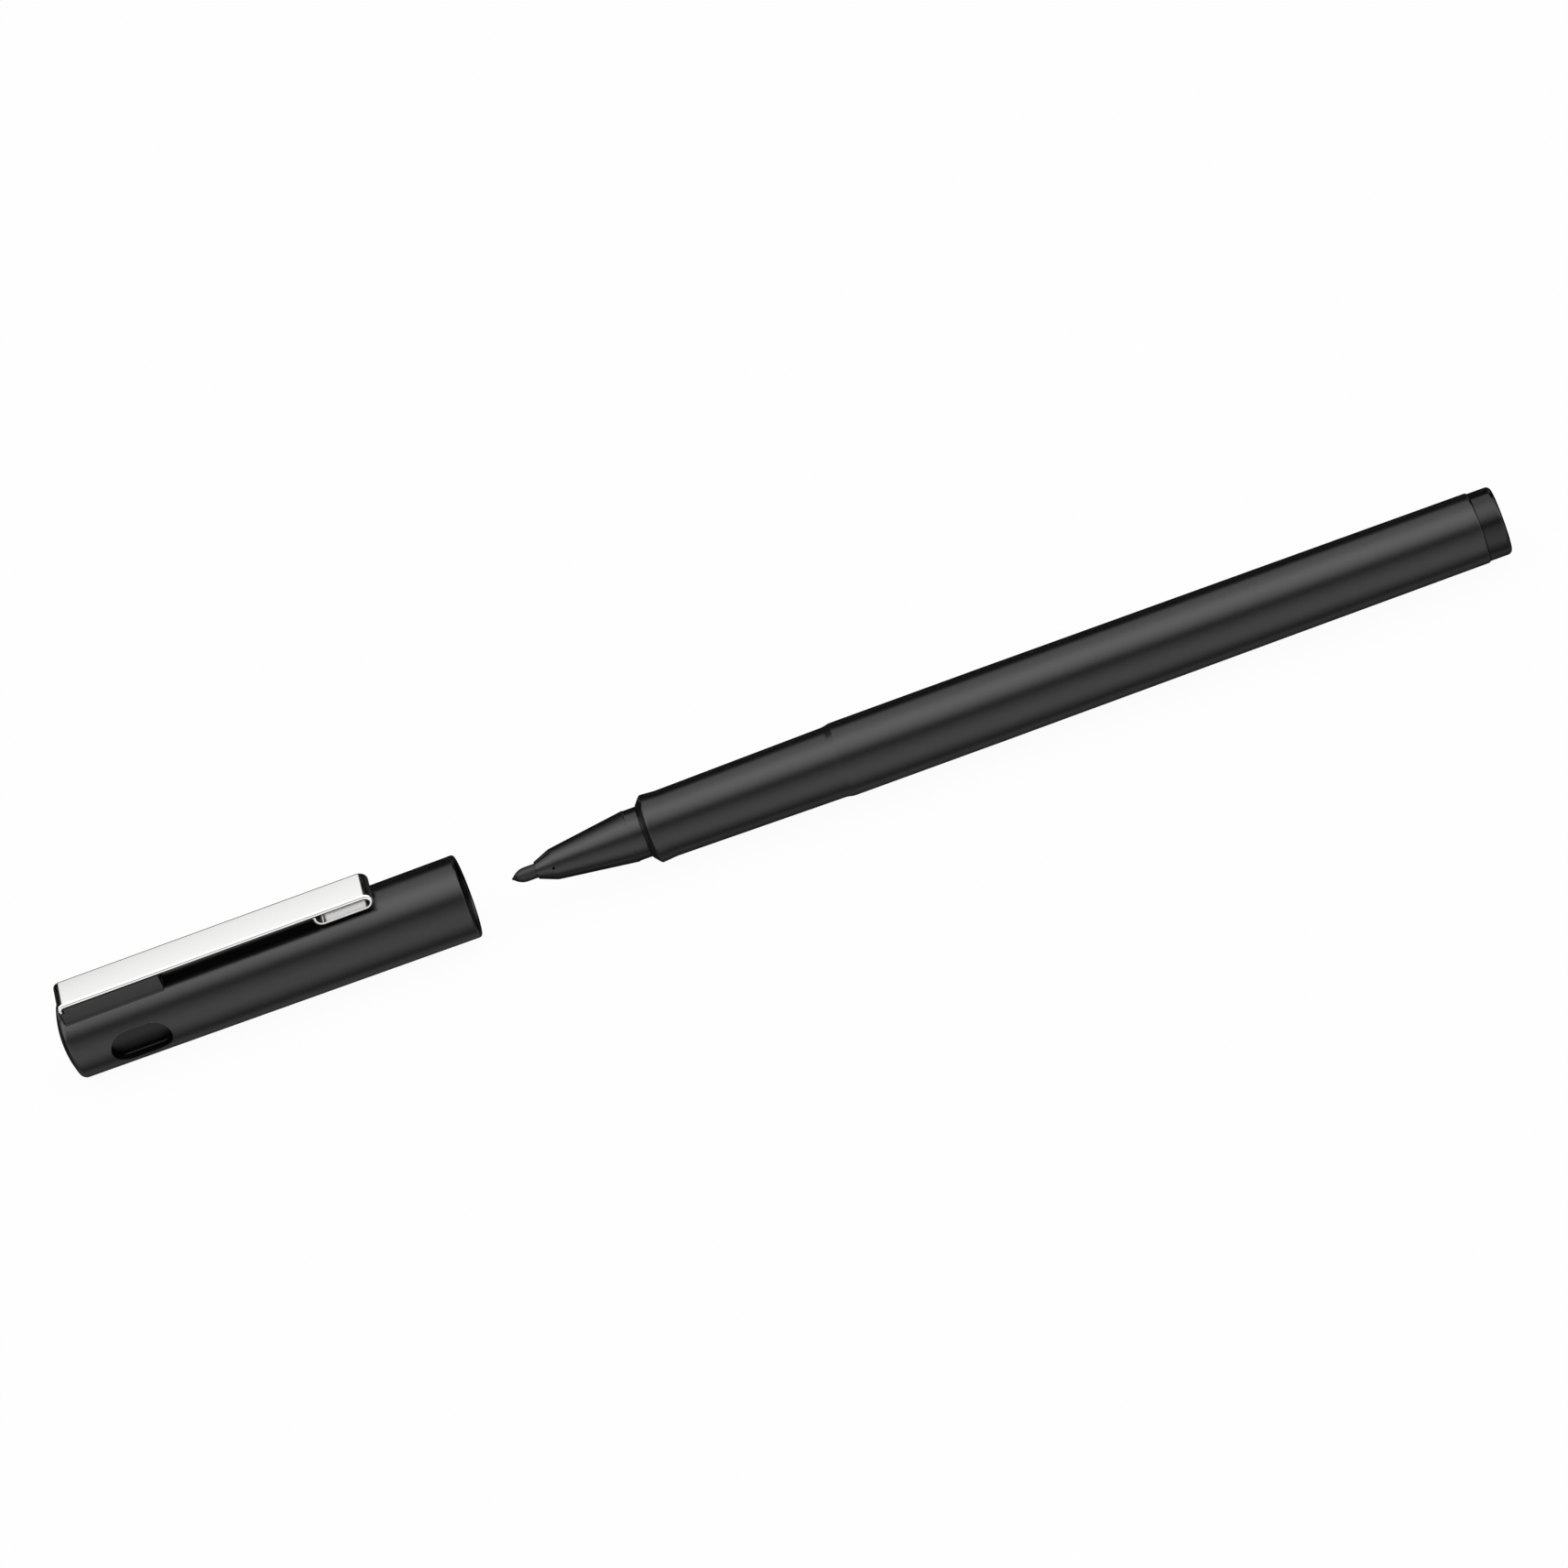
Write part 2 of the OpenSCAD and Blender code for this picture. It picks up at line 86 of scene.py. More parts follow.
class Graph:
    """Adds nodes to one node tree."""

    def __init__(self, tree: bpy.types.NodeTree) -> None:
        """Starts with an empty tree.

        Args:
            tree: The node tree of a material or of the world.
        """
        self.tree = tree
        tree.nodes.clear()

    def node(self, kind: str, settings: dict | None = None, inputs: dict | None = None) -> bpy.types.Node:
        """Adds a node of any kind.

        Args:
            kind: The node's type name.
            settings: Its properties by name. "stops" is a list of a ramp's places and grey levels.
            inputs: Values or links by the socket's name or number.

        Returns:
            The new node.
        """
        made = self.tree.nodes.new(kind)
        for name, setting in (settings or {}).items():
            if name == "stops":
                self._set_stops(made.color_ramp, setting)
            else:
                setattr(made, name, setting)
        for name, value in (inputs or {}).items():
            self.feed(made.inputs[name], value)
        return made

    def feed(self, socket: bpy.types.NodeSocket, value: object) -> None:
        """Links a socket to a value that varies, or sets it.

        Args:
            socket: The input socket.
            value: A Value, an output socket, or a plain setting.
        """
        if isinstance(value, Value):
            value = value.socket
        if isinstance(value, bpy.types.NodeSocket):
            self.tree.links.new(value, socket)
        else:
            socket.default_value = value

    def value(self, node: bpy.types.Node, output: str | int = 0) -> "Value":
        """One output of a node, as a value to reckon with."""
        return Value(self, node.outputs[output])

    def mix(self, factor: object, first: object, second: object) -> bpy.types.NodeSocket:
        """Mixes two colours.

        Args:
            factor: The share of the second colour.
            first: A colour or a colour socket.
            second: A colour or a colour socket.

        Returns:
            The mixed colour's socket.
        """
        made = self.node("ShaderNodeMix", {"data_type": "RGBA"}, {0: factor, 6: first, 7: second})
        return made.outputs[2]

    def blend(self, share: object, first: bpy.types.Node, second: bpy.types.Node) -> bpy.types.Node:
        """Mixes two shaders by the share of the second."""
        shaders = {1: first.outputs[0], 2: second.outputs[0]}
        return self.node("ShaderNodeMixShader", inputs={0: share, **shaders})

    @staticmethod
    def _set_stops(ramp: bpy.types.ColorRamp, stops: Sequence[tuple[float, float]]) -> None:
        """Sets a ramp's places and their grey levels.

        Args:
            ramp: The ramp, with its first two stops.
            stops: The places and levels, in order.
        """
        while len(ramp.elements) < len(stops):
            ramp.elements.new(1.0)
        for element, (place, level) in zip(ramp.elements, stops):
            element.position = place
            element.color = (level, level, level, 1.0)


class Value:
    """A number that varies over a surface: a socket with Python's arithmetic."""

    def __init__(self, graph: Graph, socket: bpy.types.NodeSocket) -> None:
        """Wraps an output socket of the graph's tree."""
        self.graph = graph
        self.socket = socket

    def math(self, operation: str, *others: object, first: object = None, clamp: bool = False) -> "Value":
        """Adds a Math node.

        Args:
            operation: The node's operation.
            others: The values after the first.
            first: The first value, where it isn't this one.
            clamp: Whether the result is kept from 0 to 1.

        Returns:
            The result.
        """
        terms = [self if first is None else first, *others]
        settings = {"operation": operation, "use_clamp": clamp}
        made = self.graph.node("ShaderNodeMath", settings, dict(enumerate(terms)))
        return Value(self.graph, made.outputs[0])

    def __add__(self, other: object) -> "Value":
        """Sum."""
        return self.math("ADD", other)

    __radd__ = __add__

    def __sub__(self, other: object) -> "Value":
        """Difference."""
        return self.math("SUBTRACT", other)

    def __rsub__(self, other: object) -> "Value":
        """Difference from a plain number."""
        return self.math("SUBTRACT", self, first=other)

    def __mul__(self, other: object) -> "Value":
        """Product."""
        return self.math("MULTIPLY", other)

    __rmul__ = __mul__

    def __truediv__(self, other: object) -> "Value":
        """Quotient."""
        return self.math("DIVIDE", other)

    def __neg__(self) -> "Value":
        """The value with its sign changed."""
        return self.math("MULTIPLY", -1.0)

    def swing(self, amount: float) -> "Value":
        """A pattern from 0 to 1 as a change about 0, with the given amount from its least to its most."""
        return (self - 0.5) * amount

    def above(self, edge: float, soft: float) -> "Value":
        """A mask that rises from 0 to 1 round an edge.

        Args:
            edge: Where the mask is a half.
            soft: The width of the rise.

        Returns:
            The mask.
        """
        return ((self - edge) / soft + 0.5).math("ADD", 0.0, clamp=True)


class Surface:
    """The nodes of one material, with the coordinates and patterns that finishes share."""

    EDGE_POINTED = 0.53
    EDGE_SOFT = 0.05

    def __init__(self, name: str) -> None:
        """Makes an empty material.

        Args:
            name: The material's name.
        """
        self.material = bpy.data.materials.new(name)
        self.material.use_nodes = True
        self.graph = Graph(self.material.node_tree)
        self.place = self.graph.node("ShaderNodeTexCoord").outputs["Object"]

    def stretched(self, along: float) -> bpy.types.NodeSocket:
        """The place in millimetres, drawn out along the pen's axis.

        Args:
            along: How many times longer a pattern is along the axis than across it.

        Returns:
            The coordinate's socket.
        """
        scale = (1.0 / MM / along, 1.0 / MM, 1.0 / MM)
        settings = {"operation": "MULTIPLY"}
        return self.graph.node("ShaderNodeVectorMath", settings, {0: self.place, 1: scale}).outputs[0]

    def noise(self, size: float, along: float = 1.0, detail: float = 2.0, rough: float = 0.5) -> Value:
        """A noise pattern.

        Args:
            size: The size of its patches in millimetres.
            along: How far it is drawn out along the axis.
            detail: The number of finer layers.
            rough: How strong the finer layers are.

        Returns:
            The noise, from 0 to 1.
        """
        inputs = {"Vector": self.stretched(along), "Scale": 1.0 / size, "Detail": detail, "Roughness": rough}
        return self.graph.value(self.graph.node("ShaderNodeTexNoise", inputs=inputs))

    def edges(self) -> Value:
        """A mask of the piece's outward edges."""
        pointed = self.graph.value(self.graph.node("ShaderNodeNewGeometry"), "Pointiness")
        return pointed.above(self.EDGE_POINTED, self.EDGE_SOFT)

    def bump(self, height: Value, depth: float) -> bpy.types.NodeSocket:
        """Turns a height pattern into a normal.

        Args:
            height: The pattern, from 0 to 1.
            depth: Its depth in millimetres.

        Returns:
            The normal's socket.
        """
        inputs = {"Height": height, "Distance": depth * MM, "Strength": 1.0}
        return self.graph.node("ShaderNodeBump", inputs=inputs).outputs[0]

    def finish(self, inputs: dict) -> bpy.types.Material:
        """Adds the shader and the material's output.

        Args:
            inputs: The shader's values and links by socket name.

        Returns:
            The finished material.
        """
        shader = self.graph.node("ShaderNodeBsdfPrincipled", inputs=inputs)
        self.graph.node("ShaderNodeOutputMaterial", inputs={"Surface": shader.outputs[0]})
        return self.material


class Finish(ABC):
    """What a piece is made of and how its surface is worked."""

    @abstractmethod
    def material(self, name: str) -> bpy.types.Material:
        """Makes the material under the given name."""


def grey(level: float, warmth: float = 0.0) -> tuple[float, float, float, float]:
    """A grey colour, warm above 0 and cool below it."""
    return (level * (1.0 + warmth), level, level * (1.0 - warmth), 1.0)


@dataclass(frozen=True)
class MouldedPlastic(Finish):
    """Black plastic from a mould with a fine even grain."""

    shade: float = 0.0012
    shade_spread: float = 0.2
    coolness: float = 0.04
    rubbed_shade: float = 2.5
    rubbed_share: float = 0.4
    rubbed_polish: float = 0.05
    roughness: float = 0.24
    flow: float = 2.5
    flow_length: float = 9.0
    flow_roughness: float = 0.03
    cloud: float = 4.0
    cloud_roughness: float = 0.05
    grain: float = 0.11
    grain_depth: float = 0.0004
    index: float = 1.6

    def material(self, name: str) -> bpy.types.Material:
        """Makes the material: grain, faint flow marks along the axis and polished edges.

        Args:
            name: The material's name.

        Returns:
            The material.
        """
        surface = Surface(name)
        graph = surface.graph
        flow = surface.noise(self.flow, along=self.flow_length, detail=3.0)
        cloud = surface.noise(self.cloud)
        rubbed = surface.edges()
        dark = grey(self.shade * (1 - self.shade_spread), -self.coolness)
        light = grey(self.shade * (1 + self.shade_spread), -self.coolness)
        colour = graph.mix(flow, dark, light)
        worn = graph.mix(rubbed * self.rubbed_share, colour, grey(self.shade * self.rubbed_shade))
        rough = self.roughness + cloud.swing(self.cloud_roughness) + flow.swing(self.flow_roughness)
        grain = surface.noise(self.grain, detail=1.5)
        return surface.finish({
            "Base Color": worn,
            "Roughness": rough - rubbed * self.rubbed_polish,
            "IOR": self.index,
            "Normal": surface.bump(grain, self.grain_depth),
        })


@dataclass(frozen=True)
class SpringSteel(Finish):
    """Bright sheet steel, faintly drawn along the clip."""

    shade: float = 0.92
    cloud_shade: float = 0.97
    warmth: float = 0.006
    roughness: float = 0.14
    cloud: float = 3.0
    cloud_roughness: float = 0.06
    rubbed_polish: float = 0.04
    line: float = 0.05
    line_length: float = 60.0
    line_roughness: float = 0.06
    line_depth: float = 0.0004

    def material(self, name: str) -> bpy.types.Material:
        """Makes the material: fine lines along the clip, soft clouding and smoother rubbed edges.

        Args:
            name: The material's name.

        Returns:
            The material.
        """
        surface = Surface(name)
        graph = surface.graph
        lines = surface.noise(self.line, along=self.line_length, detail=3.0, rough=0.7)
        cloud = surface.noise(self.cloud, along=3.0, detail=3.0)
        rubbed = surface.edges()
        dull, bright = grey(self.shade * self.cloud_shade, self.warmth), grey(self.shade, self.warmth)
        colour = graph.mix(cloud, dull, bright)
        rough = self.roughness + cloud.swing(self.cloud_roughness) + lines.swing(self.line_roughness)
        return surface.finish({
            "Base Color": colour,
            "Metallic": 1.0,
            "Roughness": rough - rubbed * self.rubbed_polish,
            "Normal": surface.bump(lines, self.line_depth),
        })


@dataclass(frozen=True)
class BondedFibre(Finish):
    """Fibres that lie along the axis, bonded into a rod and dark with ink."""

    shade: float = 0.006
    pale: float = 0.02
    warmth: float = 0.03
    roughness: float = 0.42
    roughness_spread: float = 0.2
    fibre: float = 0.06
    fibre_length: float = 14.0
    fibre_share: float = 0.6
    fibre_depth: float = 0.006
    soak: float = 0.7
    dry_above: float = 0.56
    dry_soft: float = 0.2
    index: float = 1.5

    def material(self, name: str) -> bpy.types.Material:
        """Makes the material: fine fibres, and ink that has soaked in unevenly.

        Args:
            name: The material's name.

        Returns:
            The material.
        """
        surface = Surface(name)
        fibres = surface.noise(self.fibre, along=self.fibre_length, rough=0.6)
        soak = surface.noise(self.soak, along=2.0, detail=3.0)
        ink = fibres * self.fibre_share + soak * (1 - self.fibre_share)
        dry = ink.above(self.dry_above, self.dry_soft)
        return surface.finish({
            "Base Color": surface.graph.mix(dry, grey(self.shade), grey(self.pale, self.warmth)),
            "Roughness": self.roughness + fibres.swing(self.roughness_spread),
            "IOR": self.index,
            "Normal": surface.bump(fibres, self.fibre_depth),
        })


@dataclass(frozen=True)
class WrapFilm(Finish):
    """Thin milky film with the creases of its wrap."""

    shade: float = 0.6
    cloud_shade: float = 0.85
    roughness: float = 0.3
    roughness_spread: float = 0.1
    cloud: float = 2.0
    crease: float = 0.9
    crease_length: float = 12.0
    crease_depth: float = 0.02
    index: float = 1.5

    def material(self, name: str) -> bpy.types.Material:
        """Makes the material: a milky film with long shallow creases.

        Args:
            name: The material's name.

        Returns:
            The material.
        """
        surface = Surface(name)
        crease = surface.noise(self.crease, along=self.crease_length)
        cloud = surface.noise(self.cloud)
        return surface.finish({
            "Base Color": surface.graph.mix(cloud, grey(self.shade * self.cloud_shade), grey(self.shade)),
            "Roughness": self.roughness + cloud.swing(self.roughness_spread),
            "IOR": self.index,
            "Normal": surface.bump(crease, self.crease_depth),
        })


@dataclass(frozen=True)
class Placement:
    """Where the pen and its cap lie in the frame, in millimetres."""

    pen_x: float
    cap_x: float
    axis_z: float

    @classmethod
    def from_frame(cls) -> "Placement":
        """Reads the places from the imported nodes.

        Returns:
            The placement.
        """
        low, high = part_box("barrel")
        return cls(
            pen_x=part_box("nib")[0].x / MM,
            cap_x=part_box("cap_shell")[0].x / MM,
            axis_z=(low.z + high.z) / 2 / MM,
        )

    def of(self, body: Body) -> Array:
        """The point that a body's pieces are measured from."""
        return np.array([self.pen_x if body is Body.PEN else self.cap_x, 0.0, self.axis_z])


def round_cut(first: Array, second: Array, radius: float) -> Array:
    """What lies inside two shapes, with the edge between them rounded.

    Args:
        first: Signed distances to one shape, below 0 inside.
        second: Signed distances to the other.
        radius: The rounding of the edge.

    Returns:
        Signed distances to the common part.
    """
    corner = np.hypot(np.maximum(first + radius, 0.0), np.maximum(second + radius, 0.0))
    return np.minimum(np.maximum(first, second), -radius) + corner


def round_join(first: Array, second: Array, radius: float) -> Array:
    """What lies inside either of two shapes, with a fillet of the given radius between them."""
    return -round_cut(-first, -second, radius)


def box_field(value: Array, low: float, high: float) -> Array:
    """Signed distance to the space between two parallel planes."""
    return np.abs(value - (low + high) / 2) - (high - low) / 2


def common(*shapes: Array) -> Array:
    """Signed distances to what lies inside all of the shapes, with sharp edges."""
    return reduce(np.maximum, shapes)


def swung(y: Array, z: Array, angle: float) -> tuple[Array, Array]:
    """How far each place lies across a spoke and out along it, for a spoke at an angle from the top."""
    sine, cosine = math.sin(angle), math.cos(angle)
    return y * cosine - z * sine, y * sine + z * cosine


def profile(x: Array, *corners: tuple[float, float]) -> Array:
    """The radius at each distance along the axis, from corners that give a distance and its radius."""
    return np.interp(x, *zip(*corners))


def graded(*spans: tuple[float, float]) -> Array:
    """Places along a line that lie closer together where the shape needs it.

    Args:
        spans: Pairs of where a span starts and the step in it. The last pair's start ends the line.

    Returns:
        The places in order.
    """
    runs = []
    for (start, step), (end, _) in zip(spans, spans[1:]):
        count = max(1, round((end - start) / step))
        runs.append(np.linspace(start, end, count, endpoint=False))
    return np.concatenate([*runs, [spans[-1][0]]])


def new_mesh(
    name: str, points: Array, faces: Iterable[Sequence[int]], normals: Array
) -> bpy.types.Mesh:
    """Makes a smooth mesh.

    Args:
        name: The mesh's name.
        points: The vertices in millimetres.
        faces: The corners of each face, by vertex number.
        normals: The true surface normal at each vertex.

    Returns:
        The mesh, in metres.
    """
    mesh = bpy.data.meshes.new(name)
    mesh.from_pydata((points * MM).tolist(), [], [list(face) for face in faces])
    mesh.update()
    mesh.shade_smooth()
    mesh.normals_split_custom_set_from_vertices(normals.tolist())
    return mesh


@dataclass(frozen=True)
class Turn:
    """A corner of a turned outline: its distance along the axis, its radius and its rounding."""

    along: float
    radius: float
    rounding: float = 0.0


class Outline:
    """A half outline that is turned about the axis, with arcs at its corners."""

    ARC_STEP = math.radians(11)
    MIN_ROUNDING = 0.02
    POLE_RADIUS = 1e-6

    def __init__(self, corners: Sequence[Turn], step: float, closed: bool) -> None:
        """Rounds the corners and fills the straight runs.

        Args:
            corners: The corners in order, with the solid on the right of the way round.
            step: The longest run between two rings.
            closed: Whether the last corner joins the first, as on a part with a bore.
        """
        self.step = step
        self.closed = closed
        self.points: list[tuple[float, float]] = []
        self.normals: list[tuple[float, float]] = []
        places = [np.array([corner.along, corner.radius]) for corner in corners]
        last = len(corners) - 1
        for index, (place, corner) in enumerate(zip(places, corners)):
            if closed or 0 < index < last:
                after = places[(index + 1) % len(places)]
                self._round(places[index - 1], place, after, corner.rounding)
            else:
                way = places[1] - place if index == 0 else place - places[last - 1]
                self._add(place, way / np.linalg.norm(way))
        if closed:
            self._fill(np.array(self.points[0]))

    def _fill(self, target: Array) -> None:
        """Adds rings between the last point and a target, along a straight run.

        Args:
            target: The place that the next point takes.
        """
        if not self.points:
            return
        start, normal = np.array(self.points[-1]), self.normals[-1]
        count = math.ceil(np.linalg.norm(target - start) / self.step)
        for share in np.linspace(0.0, 1.0, count, endpoint=False)[1:]:
            self.points.append(tuple(start + (target - start) * share))
            self.normals.append(normal)

    def _add(self, place: Array, way: Array) -> None:
        """Adds one point, whose normal is on the left of the way round.

        Args:
            place: Its distance along the axis and its radius.
            way: The direction of the way round.
        """
        self._fill(place)
        self.points.append(tuple(place))
        self.normals.append((-way[1], way[0]))

    def _round(self, before: Array, corner: Array, after: Array, rounding: float) -> None:
        """Adds the arc that rounds one corner.

        Args:
            before: The corner before it.
            corner: The corner.
            after: The corner after it.
            rounding: The radius of the arc.
        """
        first = (corner - before) / np.linalg.norm(corner - before)
        second = (after - corner) / np.linalg.norm(after - corner)
        turn = math.atan2(first[0] * second[1] - first[1] * second[0], float(first @ second))
        radius = max(rounding, self.MIN_ROUNDING)
        start = corner - first * radius * math.tan(abs(turn) / 2)
        side = math.copysign(1.0, turn)
        centre = start + side * radius * np.array([-first[1], first[0]])
        count = max(1, math.ceil(abs(turn) / self.ARC_STEP))
        for angle in np.linspace(0.0, turn, count + 1):
            spin = np.array([[math.cos(angle), -math.sin(angle)], [math.sin(angle), math.cos(angle)]])
            self._add(centre + spin @ (start - centre), spin @ first)

    def turned(self, name: str, centre: Array, spokes: int) -> bpy.types.Mesh:
        """Turns the outline about the axis.

        Args:
            name: The mesh's name.
            centre: The point that distances along the axis are measured from.
            spokes: The number of facets round the axis.

        Returns:
            The mesh.
        """
        points: list[Array] = []
        normals: list[Array] = []
        rings: list[list[int]] = []
        angles = np.linspace(0.0, 2 * math.pi, spokes, endpoint=False)
        sines, cosines = np.sin(angles), np.cos(angles)
        for (along, radius), (forward, outward) in zip(self.points, self.normals):
            pole = radius < self.POLE_RADIUS
            first = len(points)
            count = 1 if pole else spokes
            for sine, cosine in zip(sines[:count], cosines[:count]):
                points.append(centre + np.array([along, radius * sine, radius * cosine]))
                normal = [forward, outward * sine, outward * cosine]
                normals.append(np.array([math.copysign(1, forward), 0, 0] if pole else normal))
            rings.append([first] * spokes if pole else list(range(first, first + spokes)))
        faces = []
        pairs = list(zip(rings, rings[1:]))
        if self.closed:
            pairs.append((rings[-1], rings[0]))
        for near, far in pairs:
            for k in range(spokes):
                after = (k + 1) % spokes
                face = [near[k], far[k], far[after], near[after]]
                faces.append(list(dict.fromkeys(face)))
        return new_mesh(name, np.array(points), faces, np.array(normals))


class PolarNet:
    """Meshes a solid that is given by a signed distance, on sections, spokes and rings about the axis."""

    PROBE = 1e-3
    ROUNDS = 5
    LEAST_STEEP = 0.05

    def __init__(self, solid: Field, sections: Array, spokes: Array, rings: Array) -> None:
        """Samples the solid.

        Args:
            solid: Gives the signed distance at x, y and z, below 0 inside.
            sections: Distances along the axis, from before the solid to past it.
            spokes: Angles from the top, over one turn, without the last one.
            rings: Radii, to past the solid.
        """
        self.solid = solid
        self.sections = sections
        self.spokes = np.append(spokes, spokes[0] + 2 * math.pi)
        self.rings = rings
        x, angle, radius = np.meshgrid(sections, self.spokes, rings, indexing="ij", sparse=True)
        shape = (len(sections), len(self.spokes), len(rings))
        self.values = np.broadcast_to(solid(x, radius * np.sin(angle), radius * np.cos(angle)), shape)
        self.inside = self.values < 0
        self.inside[:, -1] = self.inside[:, 0]

    def _cells(self) -> Array:
        """Numbers the cells that the surface passes through, and gives -1 to the others.

        Returns:
            The cells' numbers.
        """
        full = self.inside.astype(np.int8)
        count = sum(
            full[i : i + full.shape[0] - 1, j : j + full.shape[1] - 1, k : k + full.shape[2] - 1]
            for i in (0, 1) for j in (0, 1) for k in (0, 1)
        )
        crossed = (count > 0) & (count < 8)
        numbers = np.full(crossed.shape, -1)
        numbers[crossed] = np.arange(crossed.sum())
        return numbers

    def _starts(self, cells: Array) -> Array:
        """The mean of the places where the surface crosses each cell's edges.

        Args:
            cells: The cells' numbers.

        Returns:
            A point in each numbered cell.
        """
        at = np.argwhere(cells >= 0)
        total = np.zeros((len(at), 3))
        hits = np.zeros(len(at))
        axes = (self.sections, self.spokes, self.rings)
        for axis in range(3):
            sides = [other for other in range(3) if other != axis]
            for first in (0, 1):
                for second in (0, 1):
                    low = at.copy()
                    low[:, sides[0]] += first
                    low[:, sides[1]] += second
                    high = low.copy()
                    high[:, axis] += 1
                    start, end = self.values[tuple(low.T)], self.values[tuple(high.T)]
                    crossed = (start < 0) != (end < 0)
                    share = np.where(crossed, start / np.where(crossed, start - end, 1.0), 0.0)
                    for k in range(3):
                        place = axes[k][low[:, k]] + (axes[k][high[:, k]] - axes[k][low[:, k]]) * share
                        total[:, k] += np.where(crossed, place, 0.0)
                    hits += crossed
        x, angle, radius = (total / hits[:, None]).T
        return np.column_stack([x, radius * np.sin(angle), radius * np.cos(angle)])

    def _slope(self, points: Array) -> Array:
        """The gradient of the signed distance at each point.

        Args:
            points: The points, measured from the solid's own.

        Returns:
            The gradients.
        """
        columns = []
        for axis in range(3):
            step = np.zeros(3)
            step[axis] = self.PROBE
            ahead, behind = (points + step).T, (points - step).T
            columns.append((self.solid(*ahead) - self.solid(*behind)) / (2 * self.PROBE))
        return np.column_stack(columns)

    def _settle(self, points: Array) -> Array:
        """Moves the points onto the surface.

        Args:
            points: The points, measured from the solid's own.

        Returns:
            The moved points.
        """
        for _ in range(self.ROUNDS):
            slope = self._slope(points)
            steep = np.maximum((slope**2).sum(axis=1), self.LEAST_STEEP)
            points = points - slope * (self.solid(*points.T) / steep)[:, None]
        return points

    def _faces(self, cells: Array) -> list[list[int]]:
        """One face round each edge of the grid that the surface crosses.

        Args:
            cells: The cells' numbers.

        Returns:
            The cells at each face's corners.
        """
        ring = np.concatenate([cells[:, -1:], cells], axis=1)
        faces = []
        for axis, (one, two) in enumerate(((1, 2), (0, 2), (0, 1))):
            flip = axis == 1
            here = [slice(None), slice(None, -1), slice(None)]
            there = list(here)
            if axis == 1:
                there[1] = slice(1, None)
            else:
                here[axis], there[axis] = slice(None, -1), slice(1, None)
            near, far = self.inside[tuple(here)], self.inside[tuple(there)]
            at = np.argwhere(near != far)
            inner = np.ones(len(at), bool)
            for side in (one, two):
                if side != 1:
                    inner &= (at[:, side] >= 1) & (at[:, side] < cells.shape[side])
            at = at[inner]
            quads = []
            for back_one, back_two in ((1, 1), (0, 1), (0, 0), (1, 0)):
                cell = at.copy()
                cell[:, one] -= back_one
                cell[:, two] -= back_two
                cell[:, 1] += 1
                quads.append(ring[tuple(cell.T)])
            quad = np.column_stack(quads)
            outward = near[tuple(at.T)] != flip
            faces += np.where(outward[:, None], quad, quad[:, ::-1]).tolist()
        return faces

    def mesh(self, name: str, centre: Array) -> bpy.types.Mesh:
        """Makes the mesh.

        Args:
            name: The mesh's name.
            centre: The point that the solid's own places are measured from.

        Returns:
            The mesh, with the solid's true normals.
        """
        cells = self._cells()
        points = self._starts(cells)
        faces = self._faces(cells)
        axis = self.inside[:, 0, 0]
        poles = np.flatnonzero(axis[1:] != axis[:-1]) if self.rings[0] == 0 else ()
        for section in poles:
            hub = len(points)
            middle = (self.sections[section] + self.sections[section + 1]) / 2
            points = np.vstack([points, [middle, 0.0, 0.0]])
            around = cells[section, :, 0]
            for near, far in zip(around, np.roll(around, -1)):
                faces.append([far, near, hub] if axis[section] else [near, far, hub])
        points = self._settle(points)
        slope = self._slope(points)
        normals = slope / np.linalg.norm(slope, axis=1, keepdims=True)
        return new_mesh(name, points + centre, faces, normals)


@dataclass
class Piece(ABC):
    """One visible piece that stands for a node of the frame."""

    place: Placement
    finish: Finish

    name = ""
    node = ""
    body = Body.PEN
    slot = Slot.BARREL

    @abstractmethod
    def mesh(self) -> bpy.types.Mesh:
        """Builds the piece's mesh in the frame."""

    def add(self) -> bpy.types.Object:
        """Builds the piece, dresses it and sets it on its body.

        Returns:
            The new object.
        """
        mesh = self.mesh()
        mesh.materials.append(self.finish.material(self.slot.value + "_finish"))
        made = bpy.data.objects.new(self.name, mesh)
        bpy.context.scene.collection.objects.link(made)
        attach(made, self.body.value)
        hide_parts(self.node)
        return made


@dataclass
class TurnedPiece(Piece):
    """A piece that is turned from a half outline."""

    ring_step = 1.0
    closed = False
    spokes = 128

    @abstractmethod
    def corners(self) -> list[Turn]:
        """Lists the outline's corners, measured from the body's own point."""

    def mesh(self) -> bpy.types.Mesh:
        """Turns the outline about the axis."""
        outline = Outline(self.corners(), self.ring_step, self.closed)
        return outline.turned(self.name, self.place.of(self.body), self.spokes)


@dataclass
class SampledPiece(Piece):
    """A piece whose shape is a signed distance, sampled on a grid about the axis."""

    @abstractmethod
    def solid(self, x: Array, y: Array, z: Array) -> Array:
        """Signed distance to the piece, measured from the body's own point."""

    @abstractmethod
    def grid(self) -> Grid:
        """The sections, spokes and rings of the grid."""

    def mesh(self) -> bpy.types.Mesh:
        """Meshes the solid on its grid."""
        return PolarNet(self.solid, *self.grid()).mesh(self.name, self.place.of(self.body))


